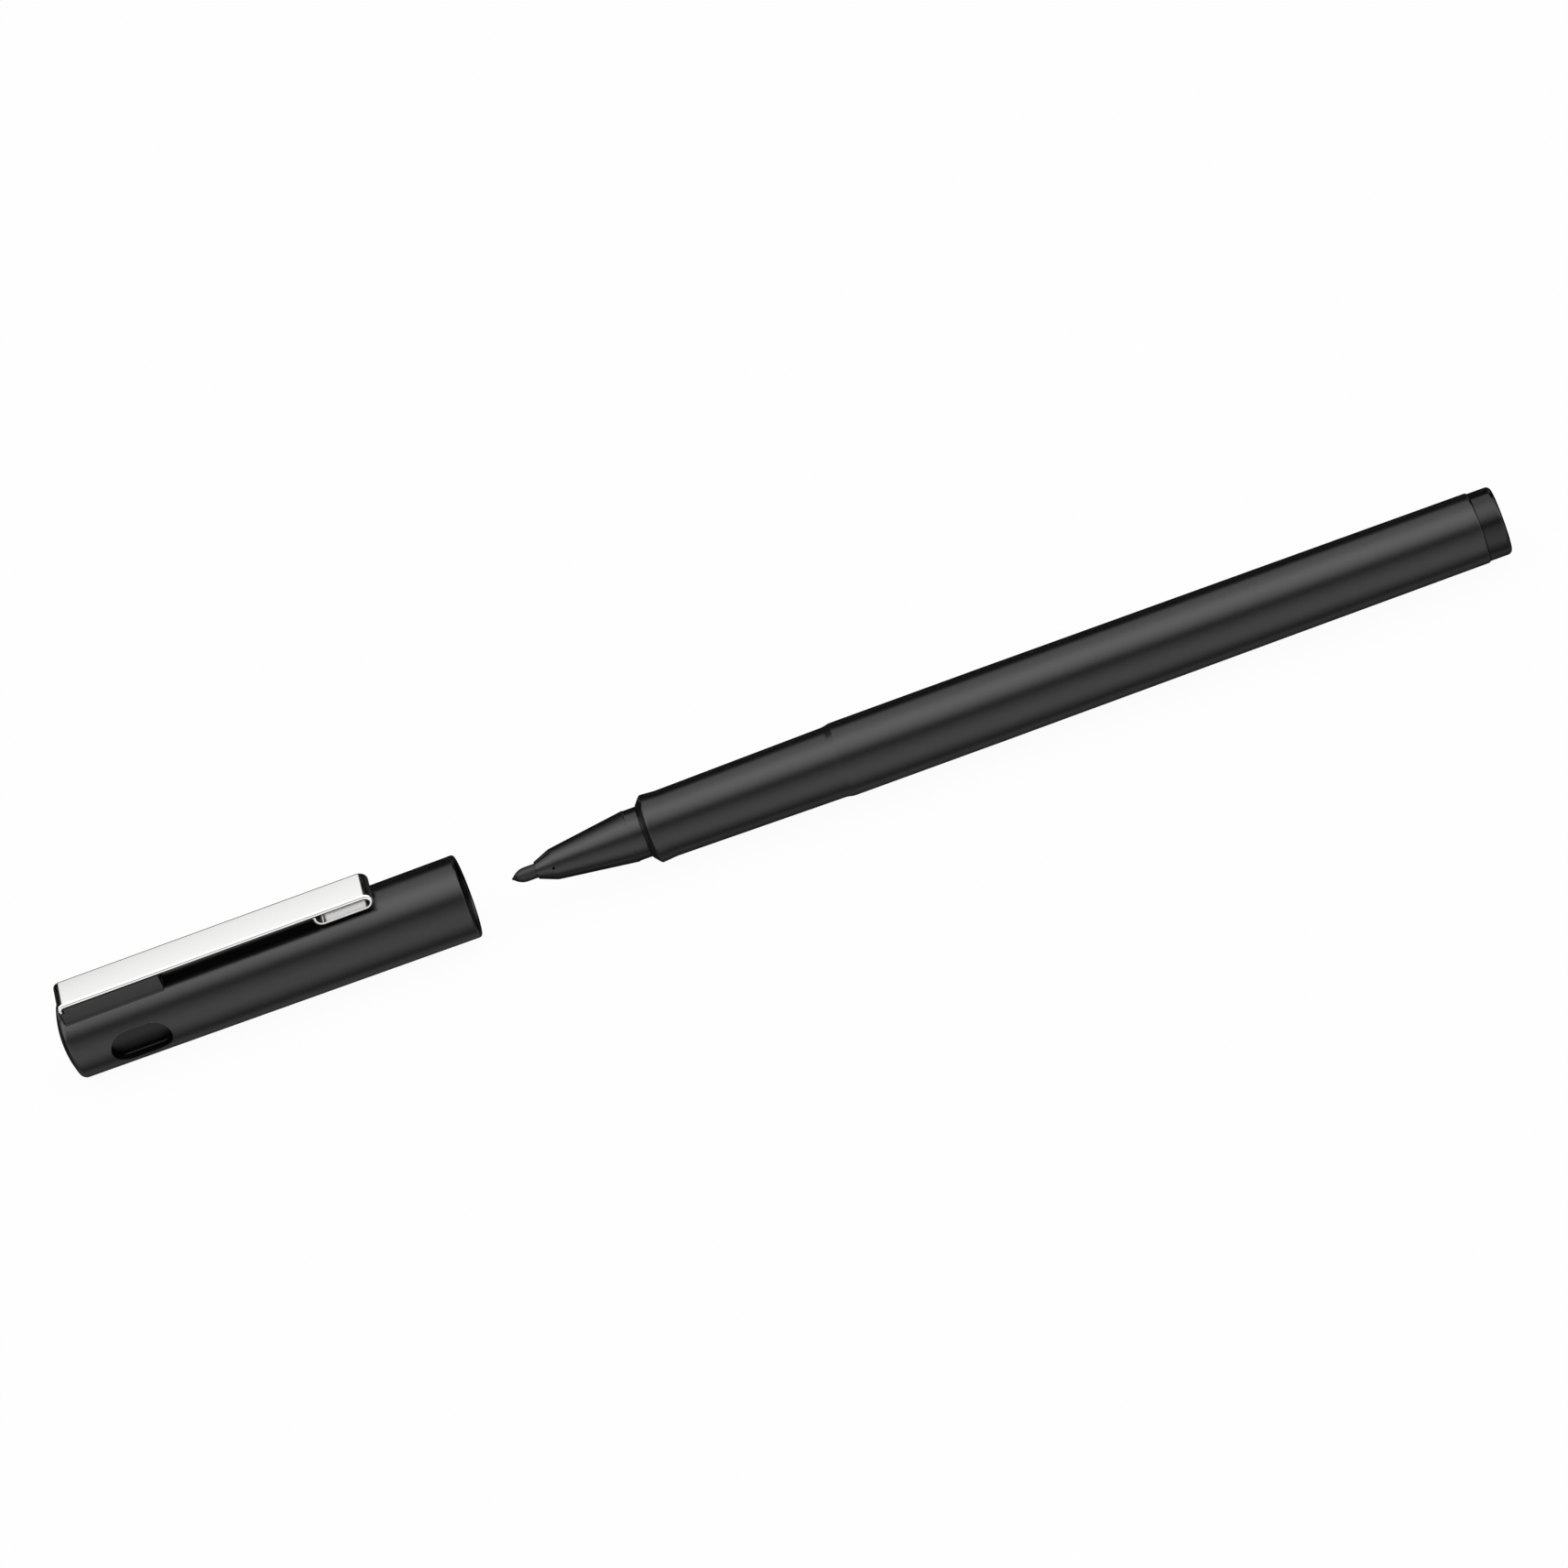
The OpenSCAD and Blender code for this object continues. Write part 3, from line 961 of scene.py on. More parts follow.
@dataclass
class Barrel(TurnedPiece):
    """Barrel, seat step, grip and snap lip in one moulding."""

    front: float = 17.7
    front_radius: float = 3.5
    lip_rise: float = 0.9
    lip_length: float = 3.0
    lip_radius: float = 4.57
    lip_rounding: float = 0.45
    neck_radius: float = 4.4
    grip_length: float = 25.8
    grip_radius: float = 4.7
    step_length: float = 0.95
    radius: float = 4.9
    straight_length: float = 20.5
    length: float = 85.9
    rear_radius: float = 4.685
    rear_rounding: float = 0.3
    spigot_radius: float = 3.1
    ring_length: float = 6.0
    lead_in: float = 0.5
    bore_radius: float = 3.6
    soft: float = 2.2
    crisp: float = 0.3
    neck_rounding: float = 0.8
    rim_rounding: float = 0.1
    bore_rounding: float = 0.05

    name = "barrel_moulding"
    node = "barrel"
    ring_step = 1.5
    closed = True
    spokes = 192

    def corners(self) -> list[Turn]:
        """Lists the corners of the outside from the front, then those of the bore from the rear.

        Returns:
            The corners in order.
        """
        ring = self.front + self.ring_length
        step = self.front + self.grip_length
        barrel = step + self.step_length
        rear = barrel + self.length
        return [
            Turn(self.front, self.spigot_radius, self.bore_rounding),
            Turn(self.front, self.front_radius, self.rim_rounding),
            Turn(self.front + self.lip_rise, self.lip_radius, self.lip_rounding),
            Turn(self.front + self.lip_length, self.neck_radius, self.neck_rounding),
            Turn(step, self.grip_radius, self.soft),
            Turn(barrel, self.radius, self.crisp),
            Turn(barrel + self.straight_length, self.radius, self.soft),
            Turn(rear, self.rear_radius, self.rear_rounding),
            Turn(rear, self.bore_radius, self.rim_rounding),
            Turn(ring + self.lead_in, self.bore_radius, self.bore_rounding),
            Turn(ring, self.spigot_radius, self.bore_rounding),
        ]


@dataclass
class NoseCone(SampledPiece):
    """Hollow cone with its blunt bevel, sealing edge, collar, spigot, air hole and nib fins."""

    tip: float = 3.1
    tip_radius: float = 1.15
    bevel_length: float = 2.3
    bevel_radius: float = 2.05
    cone_length: float = 10.55
    cone_radius: float = 3.45
    collar_length: float = 1.75
    collar_radius: float = 3.37
    spigot_radius: float = 3.1
    spigot_length: float = 7.2
    lead_in: float = 0.5
    wall: float = 0.7
    nib_radius: float = 0.95
    guide_length: float = 1.9
    vent_radius: float = 0.175
    vent_angle: float = -math.radians(61)
    fin_thickness: float = 0.5
    fin_count: int = 4
    edge: float = 0.06

    name = "nose_cone_moulding"
    node = "nose_cone"
    slot = Slot.NOSE

    def _ends(self) -> tuple[float, float, float, float]:
        """Where the bevel, the cone, the collar and the spigot end.

        Returns:
            The four distances, from front to rear.
        """
        bevel = self.tip + self.bevel_length
        cone = bevel + self.cone_length
        collar = cone + self.collar_length
        return bevel, cone, collar, collar + self.spigot_length

    def _outside(self, x: Array) -> Array:
        """The outer radius at a distance behind the nib's tip.

        Args:
            x: Distances along the axis.

        Returns:
            The radii.
        """
        bevel, cone, collar, end = self._ends()
        soft = self.edge
        bevel_slope = (self.bevel_radius - self.tip_radius) / self.bevel_length
        cone_slope = (self.cone_radius - self.bevel_radius) / self.cone_length
        return profile(
            x,
            (self.tip, self.tip_radius),
            (bevel - 2 * soft, self.bevel_radius - 2 * soft * bevel_slope),
            (bevel + 2 * soft, self.bevel_radius + 2 * soft * cone_slope),
            (cone - soft, self.cone_radius - soft * cone_slope),
            (cone + soft, self.collar_radius),
            (collar - soft, self.collar_radius),
            (collar + soft, self.spigot_radius),
            (end - self.lead_in, self.spigot_radius),
            (end, self.spigot_radius - self.lead_in / 2),
        )

    def solid(self, x: Array, y: Array, z: Array) -> Array:
        """Signed distance to the nose cone, in its own places.

        Args:
            x: Distances along the axis.
            y: Distances to the side.
            z: Heights above the axis.

        Returns:
            The distances, below 0 inside.
        """
        bevel, cone, _, end = self._ends()
        inner_radius = self.spigot_radius - self.wall
        radius = np.hypot(y, z)
        bore = profile(x, (self.tip + self.guide_length, self.nib_radius), (cone, inner_radius))
        wall = np.maximum(radius - self._outside(x), bore - radius)
        body = round_cut(wall, box_field(x, self.tip, end), self.edge)
        across, up = swung(y, z, self.vent_angle)
        vent = np.maximum(np.hypot(x - bevel, across) - self.vent_radius, -up)
        body = round_cut(body, -vent, self.edge / 2)
        for k in range(self.fin_count):
            across, up = swung(y, z, (k + 0.5) * 2 * math.pi / self.fin_count)
            fin = common(
                np.abs(across) - self.fin_thickness / 2,
                self.nib_radius - radius,
                radius - self.spigot_radius + self.wall / 2,
                -up,
                box_field(x, cone, end - self.lead_in),
            )
            body = np.minimum(body, fin)
        return body

    def grid(self) -> Grid:
        """The grid, finest at the edges along the axis and round the air hole.

        Returns:
            Sections, spokes and rings.
        """
        bevel, cone, collar, end = self._ends()
        sections = graded(
            (self.tip - 0.06, 0.03), (self.tip + 0.18, 0.2),
            (bevel - 0.26, 0.035), (bevel + 0.26, 0.6),
            (cone - 0.15, 0.03), (cone + 0.15, 0.3),
            (collar - 0.12, 0.03), (collar + 0.12, 0.5),
            (end - self.lead_in - 0.1, 0.06), (end + 0.06, 0.06),
        )
        vent, narrow = self.vent_angle, math.radians(7)
        fine, coarse = math.radians(0.9), math.radians(2.4)
        spokes = graded((vent - narrow, fine), (vent + narrow, coarse), (vent - narrow + 2 * math.pi, 1.0))
        return sections, spokes[:-1], graded((0.6, 0.08), (self.cone_radius + 0.16, 0.08))


@dataclass
class Nib(TurnedPiece):
    """Fibre nib with its rounded point."""

    radius: float = 0.95
    point_length: float = 1.7
    tip_radius: float = 0.15
    tip_face: float = 0.98
    tip_rounding: float = 0.75
    flank_rounding: float = 0.3
    flank_chords: int = 12
    end_rounding: float = 0.06
    reach: float = 0.2
    length: float = 33.3

    name = "nib_rod"
    node = "nib"
    slot = Slot.NIB
    ring_step = 0.8
    spokes = 96

    def corners(self) -> list[Turn]:
        """Lists the corners from the tip, with a run of chords on the arc of the point's flank.

        Returns:
            The corners in order.
        """
        drop = self.radius - self.tip_radius
        run = self.point_length + self.reach - self.tip_radius
        flank = (run * run + drop * drop) / (2 * drop)
        tip = -self.reach
        blunt = Turn(tip, self.tip_radius * self.tip_face, self.tip_radius * self.tip_rounding)
        corners = [Turn(tip, 0.0), blunt]
        for k in range(self.flank_chords):
            along = tip + self.tip_radius + run * k / self.flank_chords
            back = self.point_length - along
            height = self.radius - flank + math.sqrt(flank**2 - back**2)
            corners.append(Turn(along, height, self.flank_rounding))
        corners.append(Turn(self.point_length, self.radius, self.flank_rounding))
        corners.append(Turn(self.length, self.radius, self.end_rounding))
        corners.append(Turn(self.length, 0.0))
        return corners


@dataclass
class RearPlug(SampledPiece):
    """Rounded plug with a hollow stem and crush ribs."""

    rear: float = 130.35
    head_length: float = 3.0
    head_radius: float = 4.525
    head_rounding: float = 0.65
    stem_length: float = 8.0
    bore_radius: float = 3.6
    crush_height: float = 0.12
    crush_width: float = 0.5
    crush_count: int = 6
    stem_wall: float = 0.9
    lead_in: float = 0.5
    floor: float = 1.4
    edge: float = 0.05

    name = "rear_plug_moulding"
    node = "rear_plug"
    slot = Slot.PLUG

    def solid(self, x: Array, y: Array, z: Array) -> Array:
        """Signed distance to the plug, in its own places.

        Args:
            x: Distances along the axis.
            y: Distances to the side.
            z: Heights above the axis.

        Returns:
            The distances, below 0 inside.
        """
        end = self.rear + self.head_length
        stem = self.rear - self.stem_length
        stem_radius = self.bore_radius - self.crush_height
        radius = np.hypot(y, z)
        head = round_cut(radius - self.head_radius, x - end, self.head_rounding)
        head = round_cut(head, self.rear - x, self.edge)
        taper = np.maximum(stem + self.lead_in - x, 0.0) / 2
        shaft = np.maximum(radius - stem_radius + taper, box_field(x, stem, end - self.head_rounding))
        for k in range(self.crush_count):
            across, up = swung(y, z, k * 2 * math.pi / self.crush_count)
            rib = common(
                round_cut(np.abs(across) - self.crush_width / 2, radius - self.bore_radius, self.edge),
                stem_radius - self.stem_wall / 2 - up,
                stem + 2 * self.lead_in - x,
                x - self.rear - self.edge,
            )
            shaft = np.minimum(shaft, rib)
        hollow = np.maximum(radius - stem_radius + self.stem_wall, x - end + self.floor)
        return np.maximum(np.minimum(head, shaft), -hollow)

    def grid(self) -> Grid:
        """The grid, finest at the head.

        Returns:
            Sections, spokes and rings.
        """
        end = self.rear + self.head_length
        stem = self.rear - self.stem_length
        sections = graded(
            (stem - 0.06, 0.06), (stem + self.lead_in, 0.1), (stem + 3 * self.lead_in, 0.8),
            (self.rear - 0.1, 0.04), (self.rear + 0.15, 0.25),
            (end - self.head_rounding, 0.05), (end + 0.05, 0.05),
        )
        spokes = graded((0.0, math.radians(2.0)), (2 * math.pi, 1.0))
        return sections, spokes[:-1], graded((0.0, 0.5), (2.5, 0.1), (self.head_radius + 0.1, 0.1))


@dataclass
class CapShell(SampledPiece):
    """Cap with its boss, air slots, bores, clip seat and inner ribs."""

    length: float = 55.1
    dome_radius: float = 13.65
    end_radius: float = 5.25
    mouth_radius: float = 5.565
    end_rounding: float = 0.55
    mouth_rounding: float = 0.4
    mouth_bore: float = 4.83
    deep_bore: float = 4.7
    bead_bore: float = 4.62
    holder_bore: float = 4.3
    chamfer: float = 0.25
    floor: float = 2.9
    liner_mouth: float = 28.8
    shoulder: float = 1.0
    bead: float = 32.23
    bead_length: float = 1.0
    boss_start: float = 1.6
    boss_end: float = 15.2
    boss_width: float = 4.6
    boss_top: float = 7.5
    boss_corner: float = 0.4
    edge: float = 0.12
    fillet: float = 0.12
    slot_length: float = 8.0
    slot_width: float = 4.8
    slot_place: float = 10.0
    seat_depth: float = 2.35
    seat_floor: float = 6.75
    pocket_depth: float = 2.45
    pocket_floor: float = 4.85
    pocket_width: float = 2.7
    rib_width: float = 0.8
    rib_reach: float = 4.0
    rib_sink: float = 0.2
    rib_end: float = 27.5
    fin_reach: float = 2.4
    fin_end: float = 3.8
    rib_angles: tuple[int, ...] = (-45, 0, 45, 135, 180, 225)

    name = "cap_moulding"
    node = "cap_shell"
    body = Body.CAP
    slot = Slot.CAP

    def _outside(self, x: Array, y: Array, z: Array, radius: Array) -> Array:
        """Signed distance to the cap's outside with its boss and air slots.

        Args:
            x: Distances along the axis.
            y: Distances to the side.
            z: Heights above the axis.
            radius: Distances from the axis.

        Returns:
            The distances, below 0 inside.
        """
        flank = radius - self.end_radius - (self.mouth_radius - self.end_radius) * x / self.length
        dome = np.hypot(np.minimum(x - self.dome_radius, 0.0), radius) - self.dome_radius
        tube = round_cut(flank, dome, self.end_rounding)
        tube = round_cut(tube, x - self.length, self.mouth_rounding)
        boss = round_cut(np.abs(y) - self.boss_width / 2, self.boss_start - x, self.boss_corner)
        boss = round_cut(boss, x - self.boss_end, self.edge)
        boss = np.maximum(round_cut(boss, z - self.boss_top, self.edge), -z)
        body = round_join(tube, boss, self.fillet)
        straight = (self.slot_length - self.slot_width) / 2
        past = np.maximum(np.abs(x - self.slot_place) - straight, 0.0)
        return round_cut(body, self.slot_width / 2 - np.hypot(past, z), self.edge)

    def _bore(self, x: Array, radius: Array) -> Array:
        """Signed distance to the room inside the cap.

        Args:
            x: Distances along the axis.
            radius: Distances from the axis.

        Returns:
            The distances, below 0 inside.
        """
        bead_end = self.bead + self.bead_length
        bore = profile(
            x,
            (self.liner_mouth - self.shoulder, self.holder_bore),
            (self.liner_mouth, self.deep_bore),
            (self.bead, self.deep_bore),
            (self.bead + self.bead_length / 2, self.bead_bore),
            (bead_end, self.deep_bore),
            (self.length - self.chamfer, self.mouth_bore),
            (self.length, self.mouth_bore + self.chamfer),
        )
        return round_cut(radius - bore, self.floor - x, self.edge)

    def solid(self, x: Array, y: Array, z: Array) -> Array:
        """Signed distance to the cap, in its own places.

        Args:
            x: Distances along the axis.
            y: Distances to the side.
            z: Heights above the axis.

        Returns:
            The distances, below 0 inside.
        """
        radius = np.hypot(y, z)
        body = round_cut(self._outside(x, y, z, radius), -self._bore(x, radius), self.edge)
        for angle in np.radians(self.rib_angles):
            across, up = swung(y, z, angle)
            rib = np.maximum(self.rib_reach - up, x - self.rib_end)
            fin = np.maximum(self.fin_reach - up, x - self.fin_end)
            blade = common(
                np.abs(across) - self.rib_width / 2,
                radius - self.holder_bore - self.rib_sink,
                np.minimum(rib, fin),
                self.floor - self.rib_sink - x,
            )
            body = np.minimum(body, blade)
        seat = np.maximum(x - self.seat_depth, self.seat_floor - z)
        sides = np.abs(y) - self.pocket_width / 2
        pocket = common(sides, self.pocket_floor - z, x - self.pocket_depth)
        for room in (seat, pocket):
            body = round_cut(body, -room, self.edge / 2)
        return body

    def grid(self) -> Grid:
        """The grid, finest at the ends, the boss and the air slots.

        Returns:
            Sections, spokes and rings.
        """
        slot_end = self.slot_place + self.slot_length / 2
        sections = graded(
            (-0.08, 0.05), (self.pocket_depth + 0.15, 0.17),
            (slot_end - 0.1, 0.1), (self.boss_end - 0.25, 0.05), (self.boss_end + 0.25, 0.9),
            (self.rib_end - 0.1, 0.12), (self.liner_mouth + 0.2, 0.5),
            (self.bead - 0.1, 0.1), (self.bead + self.bead_length + 0.1, 1.0),
            (self.length - 0.6, 0.05), (self.length + 0.1, 0.05),
        )
        degree = math.radians(1)
        spokes = graded(
            (-125 * degree, 1.6 * degree), (-30 * degree, degree), (30 * degree, 1.6 * degree),
            (125 * degree, 2.5 * degree), (235 * degree, degree),
        )
        return sections, spokes[:-1], graded((0.0, 0.5), (2.0, 0.12), (8.0, 0.12))


@dataclass
class InnerCap(TurnedPiece):
    """Thin liner that closes over the nose cone."""

    start: float = 3.8
    mouth: float = 28.8
    radius: float = 4.0
    bore: float = 3.5
    taper: float = 0.35
    seal_length: float = 3.0
    end_thickness: float = 0.8
    rounding: float = 0.6
    mouth_rounding: float = 0.1
    bore_rounding: float = 0.3

    name = "inner_cap_liner"
    node = "inner_cap"
    body = Body.CAP
    slot = Slot.LINER

    def corners(self) -> list[Turn]:
        """Lists the corners of the outside from its closed end, then those of the bore.

        Returns:
            The corners in order.
        """
        inside = self.start + self.end_thickness
        return [
            Turn(self.start, 0.0),
            Turn(self.start, self.radius, self.rounding),
            Turn(self.mouth, self.radius, self.mouth_rounding),
            Turn(self.mouth, self.bore, self.mouth_rounding),
            Turn(self.mouth - self.seal_length, self.bore, self.bore_rounding),
            Turn(inside, self.bore - self.taper, self.bore_rounding),
            Turn(inside, 0.0),
        ]


@dataclass
class Clip(Piece):
    """Sheet steel clip: tongue, root bend, crowned strap, folded end and curl."""

    start: float = 1.65
    end: float = 44.15
    width: float = 4.7
    thickness: float = 0.5
    top: float = 8.2
    root_radius: float = 0.95
    tab_drop: float = 1.25
    tongue_drop: float = 3.2
    tongue_width: float = 2.4
    crown: float = 60.0
    fold_length: float = 8.1
    fold_height: float = 5.7
    curl_radius: float = 1.3
    end_gap: float = 0.2
    edge: float = 0.1
    roll_across: float = 0.38
    roll_down: float = 0.38
    shoulder: float = 0.06
    strap_step: float = 0.9
    bend_steps: int = 12
    tongue_steps: int = 5
    tab_steps: int = 3
    leaf_steps: int = 7
    across_steps: int = 12
    below_steps: int = 6
    edge_steps: int = 6
    end_shares: tuple[float, ...] = (0.3, 0.7, 1.0)

    name = "clip_strip"
    node = "clip"
    body = Body.CLIP
    slot = Slot.CLIP

    def _path(self) -> list[Stop]:
        """Lists stops on the strip's outer face, from the tongue's foot to the end of the curl.

        Returns:
            The stops: x, z, the direction of the way and half the strip's width.
        """
        half_tab, half_tongue = self.width / 2, self.tongue_width / 2
        foot, tab = self.top - self.tongue_drop + self.edge, self.top - self.tab_drop
        bend = self.top - self.root_radius
        up, back, rising = math.pi / 2, -math.pi, -1.5 * math.pi
        tongue = np.linspace(foot, tab - self.shoulder, self.tongue_steps + 1)
        path = [(self.start, z, up, half_tongue) for z in tongue]
        path.append((self.start, tab, up, (half_tongue + half_tab) / 2))
        upright = np.linspace(tab + self.shoulder, bend, self.tab_steps + 1)
        path += [(self.start, z, up, half_tab) for z in upright]
        root_x = self.start + self.root_radius
        path += self._arc(root_x, bend, self.root_radius, up, 0.0)
        fold_radius = (self.top - self.fold_height) / 2
        fold_x = self.end - fold_radius
        strap_steps = math.ceil((fold_x - root_x) / self.strap_step)
        strap = np.linspace(root_x, fold_x, strap_steps + 1)[1:-1]
        path += [(x, self.top, 0.0, half_tab) for x in strap]
        path += self._arc(fold_x, self.fold_height + fold_radius, fold_radius, 0.0, back)
        curl_x = self.end - self.fold_length + self.curl_radius
        leaf = np.linspace(fold_x, curl_x, self.leaf_steps + 1)[1:-1]
        path += [(x, self.fold_height, back, half_tab) for x in leaf]
        path += self._arc(curl_x, self.fold_height + self.curl_radius, self.curl_radius, back, rising)
        end = self.top - self.thickness - self.end_gap - self.edge
        path.append((curl_x - self.curl_radius, end, rising, half_tab))
        return path

    def _arc(self, x: float, z: float, radius: float, start: float, end: float) -> list[Stop]:
        """Lists the stops on a bend.

        Args:
            x: Where the bend's centre is.
            z: How high the bend's centre is.
            radius: The radius of the outer face.
            start: The way's direction at the start.
            end: The way's direction at the end.

        Returns:
            The stops.
        """
        count = max(2, round(self.bend_steps * abs(end - start) / (math.pi / 2)))
        return [
            (x - radius * math.sin(turn), z + radius * math.cos(turn), turn, self.width / 2)
            for turn in np.linspace(start, end, count + 1)
        ]

    def _section(self, half: float, rise: float) -> tuple[Array, Array]:
        """The strip's section: places across and through it, and their normals.

        Args:
            half: Half the strip's width here.
            rise: How much of the crown the outer face has here, from 0 to 1.

        Returns:
            Places and normals, as pairs of across and outward.
        """
        flat = half - self.roll_across
        crown = []
        for across in np.linspace(-flat, flat, self.across_steps + 1):
            drop = rise * (self.crown - math.sqrt(self.crown**2 - across**2))
            tilt = rise * across / self.crown
            crown.append((across, -drop, math.sin(tilt), math.cos(tilt)))
        inner = half - self.edge
        outer_arc = (flat, crown[-1][1] - self.roll_down, self.roll_across, self.roll_down, 0.0)
        inner_arc = (inner, self.edge - self.thickness, self.edge, self.edge, math.pi / 2)
        side = []
        for middle, height, width, depth, start in (outer_arc, inner_arc):
            for angle in np.linspace(start, start + math.pi / 2, self.edge_steps + 1):
                sine, cosine = math.sin(angle), math.cos(angle)
                slope = math.hypot(sine / width, cosine / depth)
                place = (middle + width * sine, height + depth * cosine)
                side.append((*place, sine / width / slope, cosine / depth / slope))
        under = np.linspace(inner, -inner, self.below_steps + 1)[1:-1]
        below = [(across, -self.thickness, 0.0, -1.0) for across in under]
        mirrored = [(-across, height, -sideways, up) for across, height, sideways, up in reversed(side[1:])]
        loop = np.array(crown + side[1:] + below + mirrored)
        return loop[:, :2], loop[:, 2:]

    def mesh(self) -> bpy.types.Mesh:
        """Sweeps the section along the path and closes both ends with rounded edges.

        Returns:
            The mesh.
        """
        centre = self.place.of(self.body)
        points, normals, rings = [], [], []
        path = self._path()
        stations = [(path[0], -share) for share in reversed(self.end_shares)]
        stations += [(stop, 0.0) for stop in path]
        stations += [(path[-1], share) for share in self.end_shares]
        for (x, z, turn, half), past in stations:
            way = np.array([math.cos(turn), 0.0, math.sin(turn)])
            out = np.array([-math.sin(turn), 0.0, math.cos(turn)])
            places, ways = self._section(half, rise=max(0.0, out[2]) ** 4)
            tip_sine, tip_cosine = math.sin(past * math.pi / 2), math.cos(past * math.pi / 2)
            places = places - ways * (self.edge * (1 - tip_cosine))
            first = len(points)
            for (across, through), (side, outward) in zip(places, ways):
                place = centre + np.array([x, across, z])
                points.append(place + way * (tip_sine * self.edge) + out * through)
                normal = np.array([0.0, side, 0.0]) + out * outward
                normal = normal * tip_cosine + way * tip_sine
                normals.append(normal / np.linalg.norm(normal))
            rings.append(range(first, len(points)))
        count = len(rings[0])
        faces = [
            [near[k], far[k], far[(k + 1) % count], near[(k + 1) % count]]
            for near, far in zip(rings, rings[1:]) for k in range(count)
        ]
        faces += [list(rings[0]), list(rings[-1])[::-1]]
        return new_mesh(self.name, np.array(points), faces, np.array(normals))


@dataclass(frozen=True)
class Reservoir:
    """Fibre core and film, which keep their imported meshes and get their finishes."""

    core: Finish = field(default_factory=lambda: BondedFibre(shade=0.01, pale=0.05))
    film: Finish = field(default_factory=WrapFilm)

    def dress(self) -> None:
        """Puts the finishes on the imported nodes."""
        for node, slot, finish in (
            ("reservoir_core", Slot.CORE, self.core),
            ("reservoir_film", Slot.FILM, self.film),
        ):
            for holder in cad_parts[node].material_slots:
                holder.material = finish.material(slot.value + "_finish")
            LOG.info("dressed %s", node)


